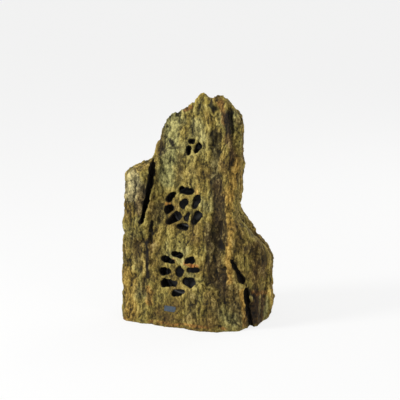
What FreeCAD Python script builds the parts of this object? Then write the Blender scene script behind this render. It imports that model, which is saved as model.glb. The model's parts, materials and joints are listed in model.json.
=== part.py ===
"""Garden loudspeaker in a tall cast rock: two woofers and a tweeter behind clusters of sound holes.

Millimetres and degrees. +Z is up, the sound-hole face looks towards -Y and leans back, and the origin
lies on the ground under the rock. Bearings are counted from +X, anticlockwise seen from above.
"""
import FreeCAD, Part
import math
import os
import re
import Sketcher
from FreeCAD import Placement, Rotation, Vector

# Cleavage planes that bound each block of the rock: side, bearing, reach at the ground, lean inwards.
BLOCKS = {
    "column": (
        ("front", -90, 150, 12),
        ("right_front", -60, 160, 10),
        ("right", 25, 54, -4),
        ("back_right", 60, 150, 9),
        ("back", 90, 165, 9),
        ("back_left", 135, 178, 9),
        ("left", 180, 185, 7),
        ("left_front", -135, 230, 13.3),
    ),
    "finger": (
        ("front", -90, 131, 1),
        ("left", 180, 201, 1),
        ("left_front", -135, 229, 1),
        ("right", 0, -114, 0),
        ("back_left", 135, 150, 2),
        ("back", 90, 60, 4),
        ("top_left", 180, 653, 50),
        ("top_front", -90, 684, 55),
        ("top", 180, 2475, 80),
    ),
    "spur": (
        ("front", -90, 140, 12),
        ("right_front", -60, 148, 5),
        ("right_fore", -20, 164, 2),
        ("right", 5, 160, 1),
        ("right_aft", 30, 170, 2),
        ("undercut", 28, 148, -38),
        ("slope", 30, 291, 38),
        ("back", 85, 166, 6),
        ("back_left", 128, 165, 8),
        ("left", 180, 100, 0),
    ),
    "foot": (
        ("front", -90, 152, 8),
        ("right_front", -55, 160, 5),
        ("right", 12, 121, 2),
        ("top", -60, 350, 60),
        ("left", 180, -20, 0),
        ("back", 90, 0, 0),
    ),
}

# Crest of the rock from left to right: name, place along X, height.
CREST = (
    ("left_end", -118, 496),
    ("left_shoulder", -105, 525),
    ("left_step", -94, 540),
    ("left_terrace", -58, 556),
    ("left_rise", -30, 575),
    ("main_peak", -3, 600),
    ("saddle", 17, 579),
    ("second_peak", 37, 597),
    ("right_brow", 54, 594),
    ("right_slope", 68, 586),
    ("right_notch", 86, 562),
    ("right_shoulder", 98, 557),
    ("right_end", 113, 526),
)

# Upright flutes of the right front: name, place across the right-front plane, low end, high end,
# half width, depth (a negative depth is a ridge).
FLUTES = (
    ("valley", 19, 80, 530, 19, 20),
    ("long_ridge", 46, 90, 610, 11, -12),
    ("upper_flute", 63, 370, 560, 9, 10),
    ("foot_flute", 30, 40, 130, 6, 7),
)

# Hollows weathered into the rock: name, centre on the skin, half width, depth.
HOLLOWS = (
    ("spur_hollow", (152, -30, 203), 24, 11),
    ("brow_hollow", (-40, -45, 540), 26, 6),
    ("left_hollow", (-150, -122, 205), 24, 7),
    ("back_hollow", (-60, 120, 330), 48, 10),
    ("back_low_hollow", (60, 150, 180), 40, 9),
)

# Crevices split into the rock: name, mouth at the top, mouth at the bottom, width at the top and at the
# bottom, depth at the top and at the bottom, bearing of the split.
CREVICES = (
    ("finger_split", (-104, -100, 440), (-146, -100, 258), 22, 13, 60, 38, 120),
    ("finger_crack", (-113, -102, 264), (-110, -124, 132), 9, 5, 18, 11, 120),
    ("spur_split", (112, -92, 190), (141, -71, 122), 7, 25, 22, 30, 120),
    ("foot_split", (146, -63, 108), (153, -50, -4), 14, 17, 30, 30, 124),
    ("crest_split", (80, -34, 606), (91, -34, 478), 17, 7, 28, 8, 124),
    ("left_nick", (-86, -54, 480), (-82, -58, 463), 7, 11, 12, 14, 100),
)

# Sound holes of each driver: across, up, length, wide end, narrow end, tilt from wide to narrow end.
WOOFER_HOLES_UPPER = (
    (-2, 41, 47, 20, 17, -6),
    (-45, 21, 35, 22, 15, 45),
    (-4, 7, 31, 26, 22, 30),
    (33, 15, 40, 25, 15, -110),
    (-47, -12, 30, 21, 18, 35),
    (-28, -34, 46, 25, 16, 225),
    (10, -25, 25, 14, 10, 60),
    (38, -26, 40, 25, 16, 240),
    (0, -52, 37, 18, 12, 180),
)
WOOFER_HOLES_LOWER = (
    (-7, 48, 38, 18, 13, 175),
    (-33, 31, 43, 18, 11, -10),
    (31, 37, 34, 20, 12, 200),
    (-39, 2, 35, 23, 15, 5),
    (5, 7, 31, 26, 21, 90),
    (44, 15, 37, 16, 12, 185),
    (-22, -28, 52, 25, 12, 3),
    (37, -18, 42, 29, 19, 168),
    (8, -48, 41, 19, 15, 15),
)
TWEETER_HOLES = (
    (2, 13, 22, 13, 10, 180),
    (-3, -11, 29, 20, 10, -85),
    (20, -3, 33, 18, 10, -110),
)

# Every other driving size: alias, value.
SIZES = (
    ("core_left", -95), ("core_right", 40), ("core_back", 20),
    ("crest_fall", 0.6), ("right_fall", 0.008), ("relief_height", 9), ("plate_step", 6),
    ("crest_rough", 5), ("crevice_wander", 5),
    ("plate_width", 43), ("plate_height", 80), ("wall", 8), ("roof", 18), ("front_wall", 24),
    ("grille_wall", 11),
    ("driver_line", -26), ("lower_woofer_up", 140), ("upper_woofer_up", 314), ("tweeter_up", 469),
    ("board_low", 64), ("board_high", 505), ("board_half_width", 74), ("board_thickness", 12),
    ("board_clearance", 1), ("board_screw_inset", 9), ("board_screw_length", 20), ("gasket_thickness", 2),
    ("woofer_opening", 60.5), ("woofer_radius", 67), ("woofer_gauge", 1.5), ("woofer_screw_ring", 63.8),
    ("shelf_depth", 23), ("shelf_inner", 36), ("shelf_outer", 41), ("basket_depth", 36),
    ("basket_neck", 34), ("basket_mouth", 16), ("cone_rim", 47), ("cone_lip", 4), ("cone_depth", 20),
    ("cone_thickness", 1.2), ("cap_radius", 17), ("cap_height", 6), ("cap_thickness", 0.8),
    ("skin_thickness", 0.8), ("roll_radius", 4.7), ("former_radius", 12.9), ("former_gauge", 0.4),
    ("former_length", 32), ("winding_gauge", 0.4), ("winding_length", 8), ("gap_clearance", 0.5),
    ("plate_radius", 34), ("plate_thickness", 5), ("magnet_radius", 40), ("magnet_bore", 20),
    ("magnet_thickness", 14), ("vent_radius", 4),
    ("tweeter_opening", 24), ("tweeter_radius", 36), ("tweeter_flange", 3), ("tweeter_screw_ring", 30.5),
    ("dome_radius", 13), ("dome_height", 6), ("dome_thickness", 0.6), ("tweeter_magnet", 24),
    ("tweeter_magnet_depth", 10), ("tweeter_plate_depth", 4),
    ("screw_radius", 1.9), ("screw_head", 3.6), ("screw_head_height", 2.4), ("screw_length", 11),
    ("screw_clearance", 0.3),
    ("base_across", -15), ("base_along", 5), ("base_length", 262), ("base_width", 212),
    ("base_corner", 34), ("base_thickness", 10), ("base_lap", 16), ("base_clearance", 1),
    ("flange_thickness", 20), ("base_screw_sink", 3.5), ("base_screw_length", 26),
    ("badge_across", -37), ("badge_up", 47), ("badge_length", 33), ("badge_width", 14),
    ("badge_thickness", 4), ("badge_sink", 3), ("badge_corner", 2.5), ("badge_clearance", 0.4),
    ("gland_across", 20), ("gland_up", 62), ("gland_sink", 9), ("gland_boss", 20), ("gland_web", 8),
    ("gland_thread", 7.8),
    ("gland_bore", 5), ("gland_flats", 22), ("gland_flange", 5), ("gland_neck", 8), ("gland_cap_length", 15),
    ("gland_seal_bore", 4.6), ("gland_seal_length", 3), ("gland_nut_length", 5), ("gland_clearance", 0.2),
    ("crossover_length", 104), ("crossover_width", 72), ("crossover_gauge", 1.6), ("standoff_height", 8),
    ("standoff_radius", 3.2), ("crossover_along", -3), ("standoff_inset", 5), ("coil_edge", 12),
    ("part_gap", 3),
    ("coil_bore", 8), ("coil_radius", 19), ("coil_length", 17), ("small_coil_radius", 13),
    ("small_coil_length", 13), ("capacitor_radius", 9), ("capacitor_length", 34),
    ("small_capacitor_radius", 6.5), ("small_capacitor_length", 26), ("resistor_length", 25),
    ("resistor_width", 9),
    ("core_length", 66), ("core_height", 55), ("core_stack", 22), ("core_limb", 11), ("core_window", 33),
    ("winding_overhang", 11), ("winding_play", 0.5), ("strap_gauge", 1.5), ("strap_foot", 14),
    ("strap_width", 16), ("transformer_along", -47),
    ("small_screw_length", 8),
)

SOUND_DRIVERS = (
    ("upper_woofer", "woofer_opening", WOOFER_HOLES_UPPER),
    ("lower_woofer", "woofer_opening", WOOFER_HOLES_LOWER),
    ("tweeter", "tweeter_opening", TWEETER_HOLES),
)
COLUMNS_PER_SIDE = 16
COLUMNS_PER_END = 34
ROWS = 44
CAP_RINGS = 4
CREVICE_STEPS = 4
CAVITY_PER_SIDE = 6
CAVITY_PER_END = 15
CAVITY_ROWS = 15
EDGE_SHARPNESS = 16
SIDE_SCREWS = 0.45
END_SCREWS = 0.5
FAR = 400

doc = FreeCAD.newDocument("GardenSpeaker")
sheet = doc.addObject("Spreadsheet::Sheet", "Sizes")
nodes = []


def add_cell(alias, value):
    add_cell.row += 1
    sheet.set("A%d" % add_cell.row, alias)
    sheet.set("B%d" % add_cell.row, str(value))
    sheet.setAlias("B%d" % add_cell.row, alias)


add_cell.row = 0
for alias, value in SIZES:
    add_cell(alias, value)
for block, planes in BLOCKS.items():
    for side, bearing, reach, lean in planes:
        add_cell("%s_%s_reach" % (block, side), reach)
        add_cell("%s_%s_lean" % (block, side), lean)
for point, across, height in CREST:
    add_cell("crest_%s" % point, height)
for flute, across, low, high, half_width, depth in FLUTES:
    add_cell("%s_depth" % flute, depth)
for hollow, centre, half_width, depth in HOLLOWS:
    add_cell("%s_depth" % hollow, depth)
doc.recompute()


def size(alias):
    return float(sheet.get(alias))


def bound(text):
    """Writes every size named in a formula as a cell of the sheet."""
    return re.sub(r"\w+", lambda word: ("Sizes." if word[0] in ALIASES else "") + word[0], text)


ALIASES = {sheet.get("A%d" % row) for row in range(1, add_cell.row + 1)}
LEAN = math.radians(size("column_front_lean"))
UP_FACE = Vector(0, math.sin(LEAN), math.cos(LEAN))
INTO_FACE = Vector(0, math.cos(LEAN), -math.sin(LEAN))


def on_face(across, up, inwards):
    """A point measured from the foot of the sound-hole face."""
    foot = Vector(across, -size("column_front_reach"), 0)
    return foot + UP_FACE * up + INTO_FACE * inwards


def level(bearing):
    return math.cos(math.radians(bearing)), math.sin(math.radians(bearing))


# The rock


def hashed(i, j, k):
    value = math.sin(i * 127.1 + j * 311.7 + k * 74.7) * 43758.5453
    return value - math.floor(value)


def value_noise(x, y, z):
    """Smooth noise between -1 and 1 on a unit lattice."""
    cell = [math.floor(value) for value in (x, y, z)]
    ease = [(value - low) ** 2 * (3 - 2 * (value - low)) for value, low in zip((x, y, z), cell)]
    total = 0
    for corner in range(8):
        steps = (corner & 1, corner >> 1 & 1, corner >> 2)
        weight = math.prod(e if step else 1 - e for e, step in zip(ease, steps))
        total += weight * hashed(*(low + step for low, step in zip(cell, steps)))
    return 2 * total - 1


def core_rays(per_side, per_end):
    """Level rays that leave the core line of the rock, anticlockwise from the front left."""
    left, right, back = size("core_left"), size("core_right"), size("core_back")
    step = (right - left) / per_side
    turn = 180 / per_end
    rays = [(left + step * i, back, -90) for i in range(per_side)]
    rays += [(right, back, -90 + turn * i) for i in range(per_end)]
    rays += [(right - step * i, back, 90) for i in range(per_side)]
    rays += [(left, back, 90 + turn * i) for i in range(per_end)]
    return rays


def ray_point(ray, reach, z):
    ahead = level(ray[2])
    return Vector(ray[0] + ahead[0] * reach, ray[1] + ahead[1] * reach, z)


def block_reach(planes, ray, z):
    """How far a ray runs before it leaves a block, with softened edges, or 0 where it misses."""
    x, y, heading = ray
    ahead = level(heading)
    enter = 0
    exits = []
    for bearing, reach, slope in planes:
        normal = level(bearing)
        room = reach - slope * z - normal[0] * x - normal[1] * y
        facing = normal[0] * ahead[0] + normal[1] * ahead[1]
        if facing > 1e-9:
            exits.append(room / facing)
        elif facing < -1e-9:
            enter = max(enter, room / facing)
        elif room < 0:
            return 0
    nearest = min(exits)
    if nearest <= enter or nearest <= 0:
        return 0
    return nearest * sum((nearest / value) ** EDGE_SHARPNESS for value in exits) ** (-1 / EDGE_SHARPNESS)


def read_planes(block):
    rows = []
    for side, bearing, reach, lean in BLOCKS[block]:
        slope = math.tan(math.radians(size("%s_%s_lean" % (block, side))))
        rows.append((bearing, size("%s_%s_reach" % (block, side)), slope))
    return rows


PLANES = [read_planes(block) for block in BLOCKS]


def flute_depth(x, y, z):
    along = level(30)
    across = along[0] * x + along[1] * y
    total = 0
    for flute, place, low, high, half_width, depth in FLUTES:
        window = min(1, max(0, (z - low) / 50)) * min(1, max(0, (high - z) / 50))
        total += window * size("%s_depth" % flute) * math.exp(-((across - place) / half_width) ** 2)
    return total


def hollow_depth(point):
    total = 0
    for hollow, centre, half_width, depth in HOLLOWS:
        away = point.distanceToPoint(Vector(*centre)) / half_width
        total += size("%s_depth" % hollow) * math.exp(-away ** 2)
    return total


def plain_reach(ray, z):
    """Reach of the rock along a ray, before the fine relief."""
    reach = max(block_reach(planes, ray, z) for planes in PLANES)
    bare = ray_point(ray, reach, z)
    if -90 <= ray[2] < 20:
        reach -= flute_depth(bare.x, bare.y, z)
    return max(reach - hollow_depth(bare), 8)


def plate_lift(x, y, z):
    """Height between -1 and 1 of the broken plate that holds a point; each plate surrounds its own seed."""
    place = (x / size("plate_width"), y / size("plate_width"), z / size("plate_height"))
    cell = [math.floor(value) for value in place]
    nearest = FAR
    lift = 0
    for corner in range(27):
        i, j, k = (low + step - 1 for low, step in zip(cell, (corner % 3, corner // 3 % 3, corner // 9)))
        seed = (i + hashed(i, j, k), j + hashed(j, k, i), k + hashed(k, i, j))
        away = math.dist(place, seed)
        if away < nearest:
            nearest = away
            lift = 2 * hashed(i + j, j + k, k + i) - 1
    return lift


def relief(x, y, z):
    """Fibrous relief, stretched upright, on broken plates, calm where the badge sits."""
    ridges = 1 - 2 * abs(value_noise(x / 36, y / 36, z / 170))
    rough = 0.5 * value_noise(x / 30, y / 30, z / 80) + 0.3 * value_noise(x / 15, y / 15, z / 34)
    calm = 0
    lowest = -FAR
    if y < 0:
        badge = on_face(size("badge_across"), size("badge_up"), 0)
        calm = math.exp(-((x - badge.x) ** 2 + (z - badge.z) ** 2) / 900)
        for driver, opening, holes in SOUND_DRIVERS:
            middle = on_face(size("driver_line"), size(driver + "_up"), 0)
            away = math.hypot(x - middle.x, z - middle.z) / size(opening)
            calm = max(calm, 0.5 * math.exp(-away ** 4))
            if away < 1.25:
                lowest = -0.55 * size("grille_wall")
    lift = size("relief_height") * (0.55 * ridges + rough) + size("plate_step") * plate_lift(x, y, z)
    return max(lift * (1 - calm), lowest)


def skin_reach(ray, z):
    """Reach of the finished skin along a ray."""
    reach = plain_reach(ray, z)
    bare = ray_point(ray, reach, z)
    return reach + relief(bare.x, bare.y, z)


def crest_height(x, y):
    """Height of the crest, falling away behind the front edge, and more so to the right of the core."""
    points = [(across, size("crest_%s" % point)) for point, across, height in CREST]
    x = min(max(x, points[0][0]), points[-1][0])
    for (left, low), (right, high) in zip(points, points[1:]):
        if left <= x <= right:
            height = low + (high - low) * (x - left) / (right - left)
    front = on_face(0, height / math.cos(LEAN), 0).y
    fall = size("crest_fall") + size("right_fall") * max(0, x - size("core_right"))
    return height - fall * max(0, y - front) + size("crest_rough") * value_noise(x / 15, y / 15, 0.5)


def column_top(ray, reach_at, roof):
    """Height at which a column meets the crest, less a roof."""
    top = size("crest_left_shoulder")
    for attempt in range(3):
        rim = ray_point(ray, reach_at(ray, top), top)
        top = crest_height(rim.x, rim.y) - roof
    return top


def rock_columns():
    """Upright columns of the rock's skin, each going on over the crest to the core line."""
    rays = core_rays(COLUMNS_PER_SIDE, COLUMNS_PER_END)
    tops = [column_top(ray, plain_reach, 0) for ray in rays]
    grid = []
    for ray, top in zip(rays, tops):
        grid.append([plain_reach(ray, top * row / ROWS) for row in range(ROWS + 1)])
    columns = []
    for index, (ray, top) in enumerate(zip(rays, tops)):
        before, after = grid[index - 1], grid[(index + 1) % len(rays)]
        points = []
        for row, reach in enumerate(grid[index]):
            reach = 0.5 * reach + 0.25 * (before[row] + after[row])
            bare = ray_point(ray, reach, top * row / ROWS)
            reach += relief(bare.x, bare.y, bare.z)
            points.append(ray_point(ray, reach, bare.z))
        for ring in range(1, CAP_RINGS + 1):
            inner = ray_point(ray, reach * (1 - ring / CAP_RINGS), 0)
            points.append(Vector(inner.x, inner.y, crest_height(inner.x, inner.y)))
        columns.append(points)
    return columns


def triangles_between(columns):
    """Triangles of the skin between neighbouring columns."""
    for left, right in zip(columns, columns[1:] + columns[:1]):
        for a, b, c, d in zip(left, right, right[1:], left[1:]):
            yield from ((a, b, c), (a, c, d))


def solid_of(columns):
    """Closed solid of a ring of columns whose inner ends meet on the core line."""
    faces = []
    for a, b, c in triangles_between(columns):
        if min(a.distanceToPoint(b), b.distanceToPoint(c), c.distanceToPoint(a)) > 1e-6:
            faces.append(Part.Face(Part.makePolygon([a, b, c, a])))
    floor = [column[0] for column in columns]
    faces.append(Part.Face(Part.makePolygon(floor + floor[:1])))
    shell = Part.makeShell(faces)
    shell.sewShape()
    solid = Part.Solid(Part.Shell(shell.Faces))
    if solid.Volume < 0:
        solid.reverse()
    return solid


def crevice_reach(ray, z):
    """How far a cavity ray may run before it comes within a wall of a crevice."""
    reach = FAR
    ahead = level(ray[2])
    wall = size("wall") + size("crevice_wander")
    for name, high, low, wide, narrow, deep, shallow, bearing in CREVICES:
        if not low[2] - 20 < z < high[2] + 20:
            continue
        part = min(1, max(0, (z - low[2]) / (high[2] - low[2])))
        inwards = level(bearing)
        for step in range(7):
            depth = (shallow + (deep - shallow) * part) * step / 6
            x = low[0] + (high[0] - low[0]) * part + inwards[0] * depth - ray[0]
            y = low[1] + (high[1] - low[1]) * part + inwards[1] * depth - ray[1]
            along = x * ahead[0] + y * ahead[1]
            aside = abs(x * ahead[1] - y * ahead[0])
            if along > 0 and aside < (narrow + (wide - narrow) * part) / 2 + wall:
                reach = min(reach, along - size("wall"))
    return reach


def cavity_reach(ray, z):
    """Reach of the hollow, a wall inside the lowest skin around a ray."""
    reach = FAR
    for swing in (-0.8, -0.4, 0, 0.4, 0.8):
        near = (ray[0], ray[1], ray[2] + swing * 180 / CAVITY_PER_END)
        reach = min(reach, crevice_reach(near, z))
        for lift in (-16, 0, 16):
            reach = min(reach, skin_reach(near, z + lift) - size("wall"))
    return max(reach, 6)


def cavity_column(ray, low):
    """Points of one upright column of the hollow, closing under the crest."""
    high = column_top(ray, cavity_reach, size("roof"))
    heights = [low + (high - low) * row / CAVITY_ROWS for row in range(CAVITY_ROWS + 1)]
    points = [ray_point(ray, cavity_reach(ray, z), z) for z in heights]
    points.append(Vector(ray[0], ray[1], crest_height(ray[0], ray[1]) - size("roof")))
    return points


def rounded_slab(inset, low, high):
    """Upright slab with the outline of the base plate, drawn in by an inset."""
    length = size("base_length") - 2 * inset
    width = size("base_width") - 2 * inset
    corner = Vector(size("base_across") - length / 2, size("base_along") - width / 2, low)
    slab = Part.makeBox(length, width, high - low, corner)
    upright = [edge for edge in slab.Edges if abs(edge.tangentAt(0).z) > 0.5]
    return slab.makeFillet(size("base_corner") - inset, upright)


def facing_out(point):
    """Placement on the sound-hole face: local X to the right, Y up the face, Z out of it."""
    return Placement(point, Rotation(Vector(1, 0, 0), 90 - math.degrees(LEAN)))


def sound_hole(length, wide, narrow):
    """Tapered hole outline, pushed through the wall."""
    big, small = wide / 2, narrow / 2
    gap = length - big - small
    angle = math.acos((big - small) / gap)
    shift = big - length / 2
    cosine, sine = math.cos(angle), math.sin(angle)
    ends = []
    for place, radius in ((shift, big), (shift + gap, small)):
        ends.append([Vector(place + radius * cosine, radius * side * sine, 0) for side in (1, -1)])
    wide_arc = Part.Arc(ends[0][0], Vector(shift - big, 0, 0), ends[0][1])
    narrow_arc = Part.Arc(ends[1][1], Vector(shift + gap + small, 0, 0), ends[1][0])
    lower = Part.LineSegment(ends[0][1], ends[1][1])
    upper = Part.LineSegment(ends[1][0], ends[0][0])
    outline = Part.Wire([curve.toShape() for curve in (wide_arc, lower, narrow_arc, upper)])
    return Part.Face(outline).extrude(Vector(0, 0, 60))


def crevice(high, low, wide, narrow, deep, shallow, bearing):
    """Wedge through five-sided sections whose mouth wanders from side to side."""
    inwards = Vector(*level(bearing), 0)
    aside = Vector(-inwards.y, inwards.x, 0)
    sections = []
    for step in range(CREVICE_STEPS + 1):
        part = step / CREVICE_STEPS
        sway = (2 * hashed(step, wide, bearing) - 1) * min(1, 4 * part * (1 - part))
        width = (narrow + (wide - narrow) * part) * (1 + 0.25 * sway)
        depth = shallow + (deep - shallow) * part
        mouth = Vector(*low) + (Vector(*high) - Vector(*low)) * part + aside * size("crevice_wander") * sway
        edges = [mouth + aside * width / 2, mouth - aside * width / 2]
        outer = [edges[1] - inwards * 60, edges[0] - inwards * 60]
        ring = [edges[0], mouth + inwards * depth, edges[1]] + outer
        sections.append(Part.makePolygon(ring + ring[:1]))
    return Part.makeLoft(sections, True, True)


def board_screw_places():
    half = size("board_half_width") - size("board_screw_inset")
    rows = (
        size("board_low") + size("board_screw_inset"),
        (size("lower_woofer_up") + size("upper_woofer_up")) / 2,
        (size("upper_woofer_up") + size("tweeter_up")) / 2,
        size("board_high") - size("board_screw_inset"),
    )
    return [(side * half, up) for up in rows for side in (-1, 1)]


def base_screw_places():
    """Screw centres in the lap of the base plate, counted from its centre."""
    far = size("base_length") / 2 - size("base_lap") / 2
    near = size("base_width") / 2 - size("base_lap") / 2
    sides = [(far * a, near * b * SIDE_SCREWS) for a in (-1, 1) for b in (-1, 1)]
    ends = [(far * a * END_SCREWS, near * b) for a in (-1, 1) for b in (-1, 1)]
    return sides + ends


def gland_face():
    slope = math.tan(math.radians(size("spur_back_lean")))
    y = size("spur_back_reach") - slope * size("gland_up") - size("gland_sink")
    return Vector(size("gland_across"), y, size("gland_up"))


def rock_shape():
    rock = solid_of(rock_columns())
    plate_top = size("base_thickness") + size("gasket_thickness")
    flange_top = plate_top + size("flange_thickness")
    rays = core_rays(CAVITY_PER_SIDE, CAVITY_PER_END)
    cavity = solid_of([cavity_column(ray, flange_top) for ray in rays])
    behind = Part.makeBox(4 * FAR, 4 * FAR, FAR, Vector(-2 * FAR, -2 * FAR, -FAR))
    behind.Placement = facing_out(on_face(0, 0, size("front_wall")))
    entry = gland_face()
    back = Vector(0, 1, 0)
    boss = Part.makeCylinder(size("gland_boss"), FAR, entry - back * size("gland_web"), back)
    cutters = [cavity.common(behind).cut(boss)]
    pocket_length = size("board_high") - size("board_low") + 2 * size("board_clearance")
    pocket_width = 2 * (size("board_half_width") + size("board_clearance"))
    board = Part.makeBox(pocket_width, pocket_length, 3 * size("board_thickness"))
    low = size("board_low") - size("board_clearance")
    corner = on_face(size("driver_line") - pocket_width / 2, low, size("front_wall"))
    board.Placement = facing_out(corner + INTO_FACE * 3 * size("board_thickness"))
    cutters.append(board)
    cutters.append(rounded_slab(-size("base_clearance"), -1, plate_top))
    cutters.append(rounded_slab(size("base_lap"), 0, flange_top + 1))
    for name, high, low, wide, narrow, deep, shallow, bearing in CREVICES:
        cutters.append(crevice(high, low, wide, narrow, deep, shallow, bearing))
    for driver, opening, holes in SOUND_DRIVERS:
        up = size(driver + "_up")
        recess = Part.makeCylinder(size(opening), size("front_wall") - size("grille_wall") + 1)
        recess.Placement = facing_out(on_face(size("driver_line"), up, size("front_wall") + 1))
        cutters.append(recess)
        for across, rise, length, wide, narrow, tilt in holes:
            hole = sound_hole(length, wide, narrow)
            seat = facing_out(on_face(size("driver_line") + across, up + rise, size("front_wall")))
            hole.Placement = seat * Placement(Vector(), Rotation(Vector(0, 0, 1), tilt))
            cutters.append(hole)
    pilot = size("screw_radius")
    for across, up in board_screw_places():
        hole = Part.makeCylinder(pilot, size("board_screw_length") - size("board_thickness"))
        hole.Placement = facing_out(on_face(size("driver_line") + across, up, size("front_wall")))
        cutters.append(hole)
    for across, along in base_screw_places():
        place = Vector(size("base_across") + across, size("base_along") + along, 0)
        cutters.append(Part.makeCylinder(pilot, size("base_screw_length") + size("base_screw_sink"), place))
    play = 2 * size("badge_clearance")
    badge = Part.makeBox(size("badge_length") + play, size("badge_width") + play, 30)
    middle = Placement(Vector(-badge.BoundBox.XLength / 2, -badge.BoundBox.YLength / 2, 0), Rotation())
    spot = facing_out(on_face(size("badge_across"), size("badge_up"), size("badge_sink")))
    badge.Placement = spot * middle
    cutters.append(badge)
    thread = size("gland_thread") + size("gland_clearance")
    cutters.append(Part.makeCylinder(size("gland_flats") * 0.8, 60, entry, back))
    cutters.append(Part.makeCylinder(thread, 60, entry - back * 40, back))
    return rock.cut(cutters)


def add_code_shape(label, shape):
    node = doc.addObject("Part::Feature", label)
    node.Shape = shape
    nodes.append(node)
    return node


rock_shell = add_code_shape("rock_shell", rock_shape())
rock_shell.Placement = Placement()


# Helpers for bodies whose sketches and placements follow the sheet


def new_body(label):
    body = doc.addObject("PartDesign::Body", label)
    body.AllowCompound = True
    nodes.append(body)
    return body


def new_sketch(body, plane):
    sketch = body.newObject("Sketcher::SketchObject", body.Label + "_sketch")
    support = [item for item in body.Origin.OriginFeatures if item.Role == plane][0]
    sketch.AttachmentSupport = [(support, "")]
    sketch.MapMode = "FlatFace"
    return sketch


def pin_point(sketch, item, end, x, y, guess):
    """Holds a point of a sketch at two formulas; a zero puts it on the axis."""
    for kind, axis, formula, start in (("DistanceX", -2, x, guess.x), ("DistanceY", -1, y, guess.y)):
        if formula == "0":
            sketch.addConstraint(Sketcher.Constraint("PointOnObject", item, end, axis))
        else:
            held = sketch.addConstraint(Sketcher.Constraint(kind, -1, 1, item, end, start))
            sketch.setExpression("Constraints[%d]" % held, bound(formula))


def add_outline(sketch, corners):
    """Closed outline of straight lines through corners given as formulas."""
    count = len(corners)
    first = sketch.GeometryCount
    turns = [2 * math.pi * index / count for index in range(count)]
    guesses = [Vector(50 + 30 * math.cos(turn), 50 + 30 * math.sin(turn), 0) for turn in turns]
    for index in range(count):
        sketch.addGeometry(Part.LineSegment(guesses[index], guesses[(index + 1) % count]), False)
    for index in range(count):
        after = first + (index + 1) % count
        sketch.addConstraint(Sketcher.Constraint("Coincident", first + index, 2, after, 1))
    for index, (x, y) in enumerate(corners):
        pin_point(sketch, first + index, 1, x, y, guesses[index])


def add_circle(sketch, x, y, radius):
    guess = Vector(40, 40, 0)
    item = sketch.addGeometry(Part.Circle(guess, Vector(0, 0, 1), 5), False)
    pin_point(sketch, item, 3, x, y, guess)
    held = sketch.addConstraint(Sketcher.Constraint("Radius", item, 5))
    sketch.setExpression("Constraints[%d]" % held, bound(radius))


def revolve(body, corners):
    """Turns an outline of (radius, height) formulas about the body's Z axis."""
    sketch = new_sketch(body, "XZ_Plane")
    add_outline(sketch, corners)
    turn = body.newObject("PartDesign::Revolution", body.Label + "_turn")
    turn.Profile = sketch
    turn.ReferenceAxis = (sketch, ["V_Axis"])
    turn.Angle = 360
    body.Tip = turn
    return turn


def pad(body, sketch, height):
    block = body.newObject("PartDesign::Pad", body.Label + "_pad")
    block.Profile = sketch
    block.setExpression("Length", bound(height))
    body.Tip = block
    return block


def pocket(body, sketch):
    """Cuts a sketch right through a body, both ways."""
    cut = body.newObject("PartDesign::Pocket", body.Label + "_cut")
    cut.Profile = sketch
    cut.Type = "ThroughAll"
    cut.Midplane = True
    body.Tip = cut
    return cut


def around(body, feature, count):
    """Repeats a feature about the body's Z axis."""
    ring = body.newObject("PartDesign::PolarPattern", body.Label + "_ring")
    ring.Originals = [feature]
    ring.Axis = ([item for item in body.Origin.OriginFeatures if item.Role == "Z_Axis"][0], [""])
    ring.Angle = 360
    ring.Occurrences = count
    body.Tip = ring


def drill_ring(body, ring, radius, count):
    """Drills a ring of round holes along the body's Z axis."""
    sketch = new_sketch(body, "XY_Plane")
    add_circle(sketch, ring + " * 0.7071", ring + " * 0.7071", radius)
    around(body, pocket(body, sketch), count)


def round_upright_edges(body, feature, radius):
    doc.recompute()
    names = []
    for index, edge in enumerate(feature.Shape.Edges):
        if len(edge.Vertexes) == 2 and abs(edge.tangentAt(edge.FirstParameter).z) > 0.99:
            names.append("Edge%d" % (index + 1))
    rounding = body.newObject("PartDesign::Fillet", body.Label + "_corners")
    rounding.Base = (feature, names)
    rounding.setExpression("Radius", bound(radius))
    body.Tip = rounding
    return rounding


def move(item, x, y, z):
    """Binds the place of an item to formulas."""
    for axis, formula in (("x", x), ("y", y), ("z", z)):
        item.setExpression("Placement.Base." + axis, bound(formula))


def seat_on_face(item, across, up, inwards="front_wall"):
    """Places an item inside the sound-hole face: local Z inwards, local Y down the face."""
    item.Placement = Placement(Vector(), Rotation(Vector(-1, 0, 0), 100))
    item.setExpression("Placement.Rotation.Angle", bound("90 + column_front_lean"))
    sine, cosine = "sin( column_front_lean )", "cos( column_front_lean )"
    y = "- column_front_reach + ( %s ) * %s + ( %s ) * %s" % (up, sine, inwards, cosine)
    move(item, across, y, "( %s ) * %s - ( %s ) * %s" % (up, cosine, inwards, sine))


def hollow_cap(label, base_radius, height, thickness, depth):
    """Spherical cap whose crown points to local -Z, standing at a depth."""
    radius = "( ( %s ) ^ 2 + %s ^ 2 ) / ( 2 * %s )" % (base_radius, height, height)
    outer = doc.addObject("Part::Sphere", label + "_outer")
    outer.Angle1 = -90
    outer.setExpression("Radius", bound(radius))
    outer.setExpression("Angle2", bound("- acos( ( %s ) / ( %s ) )" % (base_radius, radius)))
    inner = doc.addObject("Part::Sphere", label + "_inner")
    inner.setExpression("Radius", bound("( %s ) - %s" % (radius, thickness)))
    for ball in (outer, inner):
        move(ball, "0", "0", "( %s ) + ( %s ) - %s" % (depth, radius, height))
    cap = doc.addObject("Part::Cut", label)
    cap.Base = outer
    cap.Tool = inner
    nodes.append(cap)
    return cap


def add_box(label, length, width, height):
    box = doc.addObject("Part::Box", label)
    for side, formula in (("Length", length), ("Width", width), ("Height", height)):
        box.setExpression(side, bound(formula))
    nodes.append(box)
    return box


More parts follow.
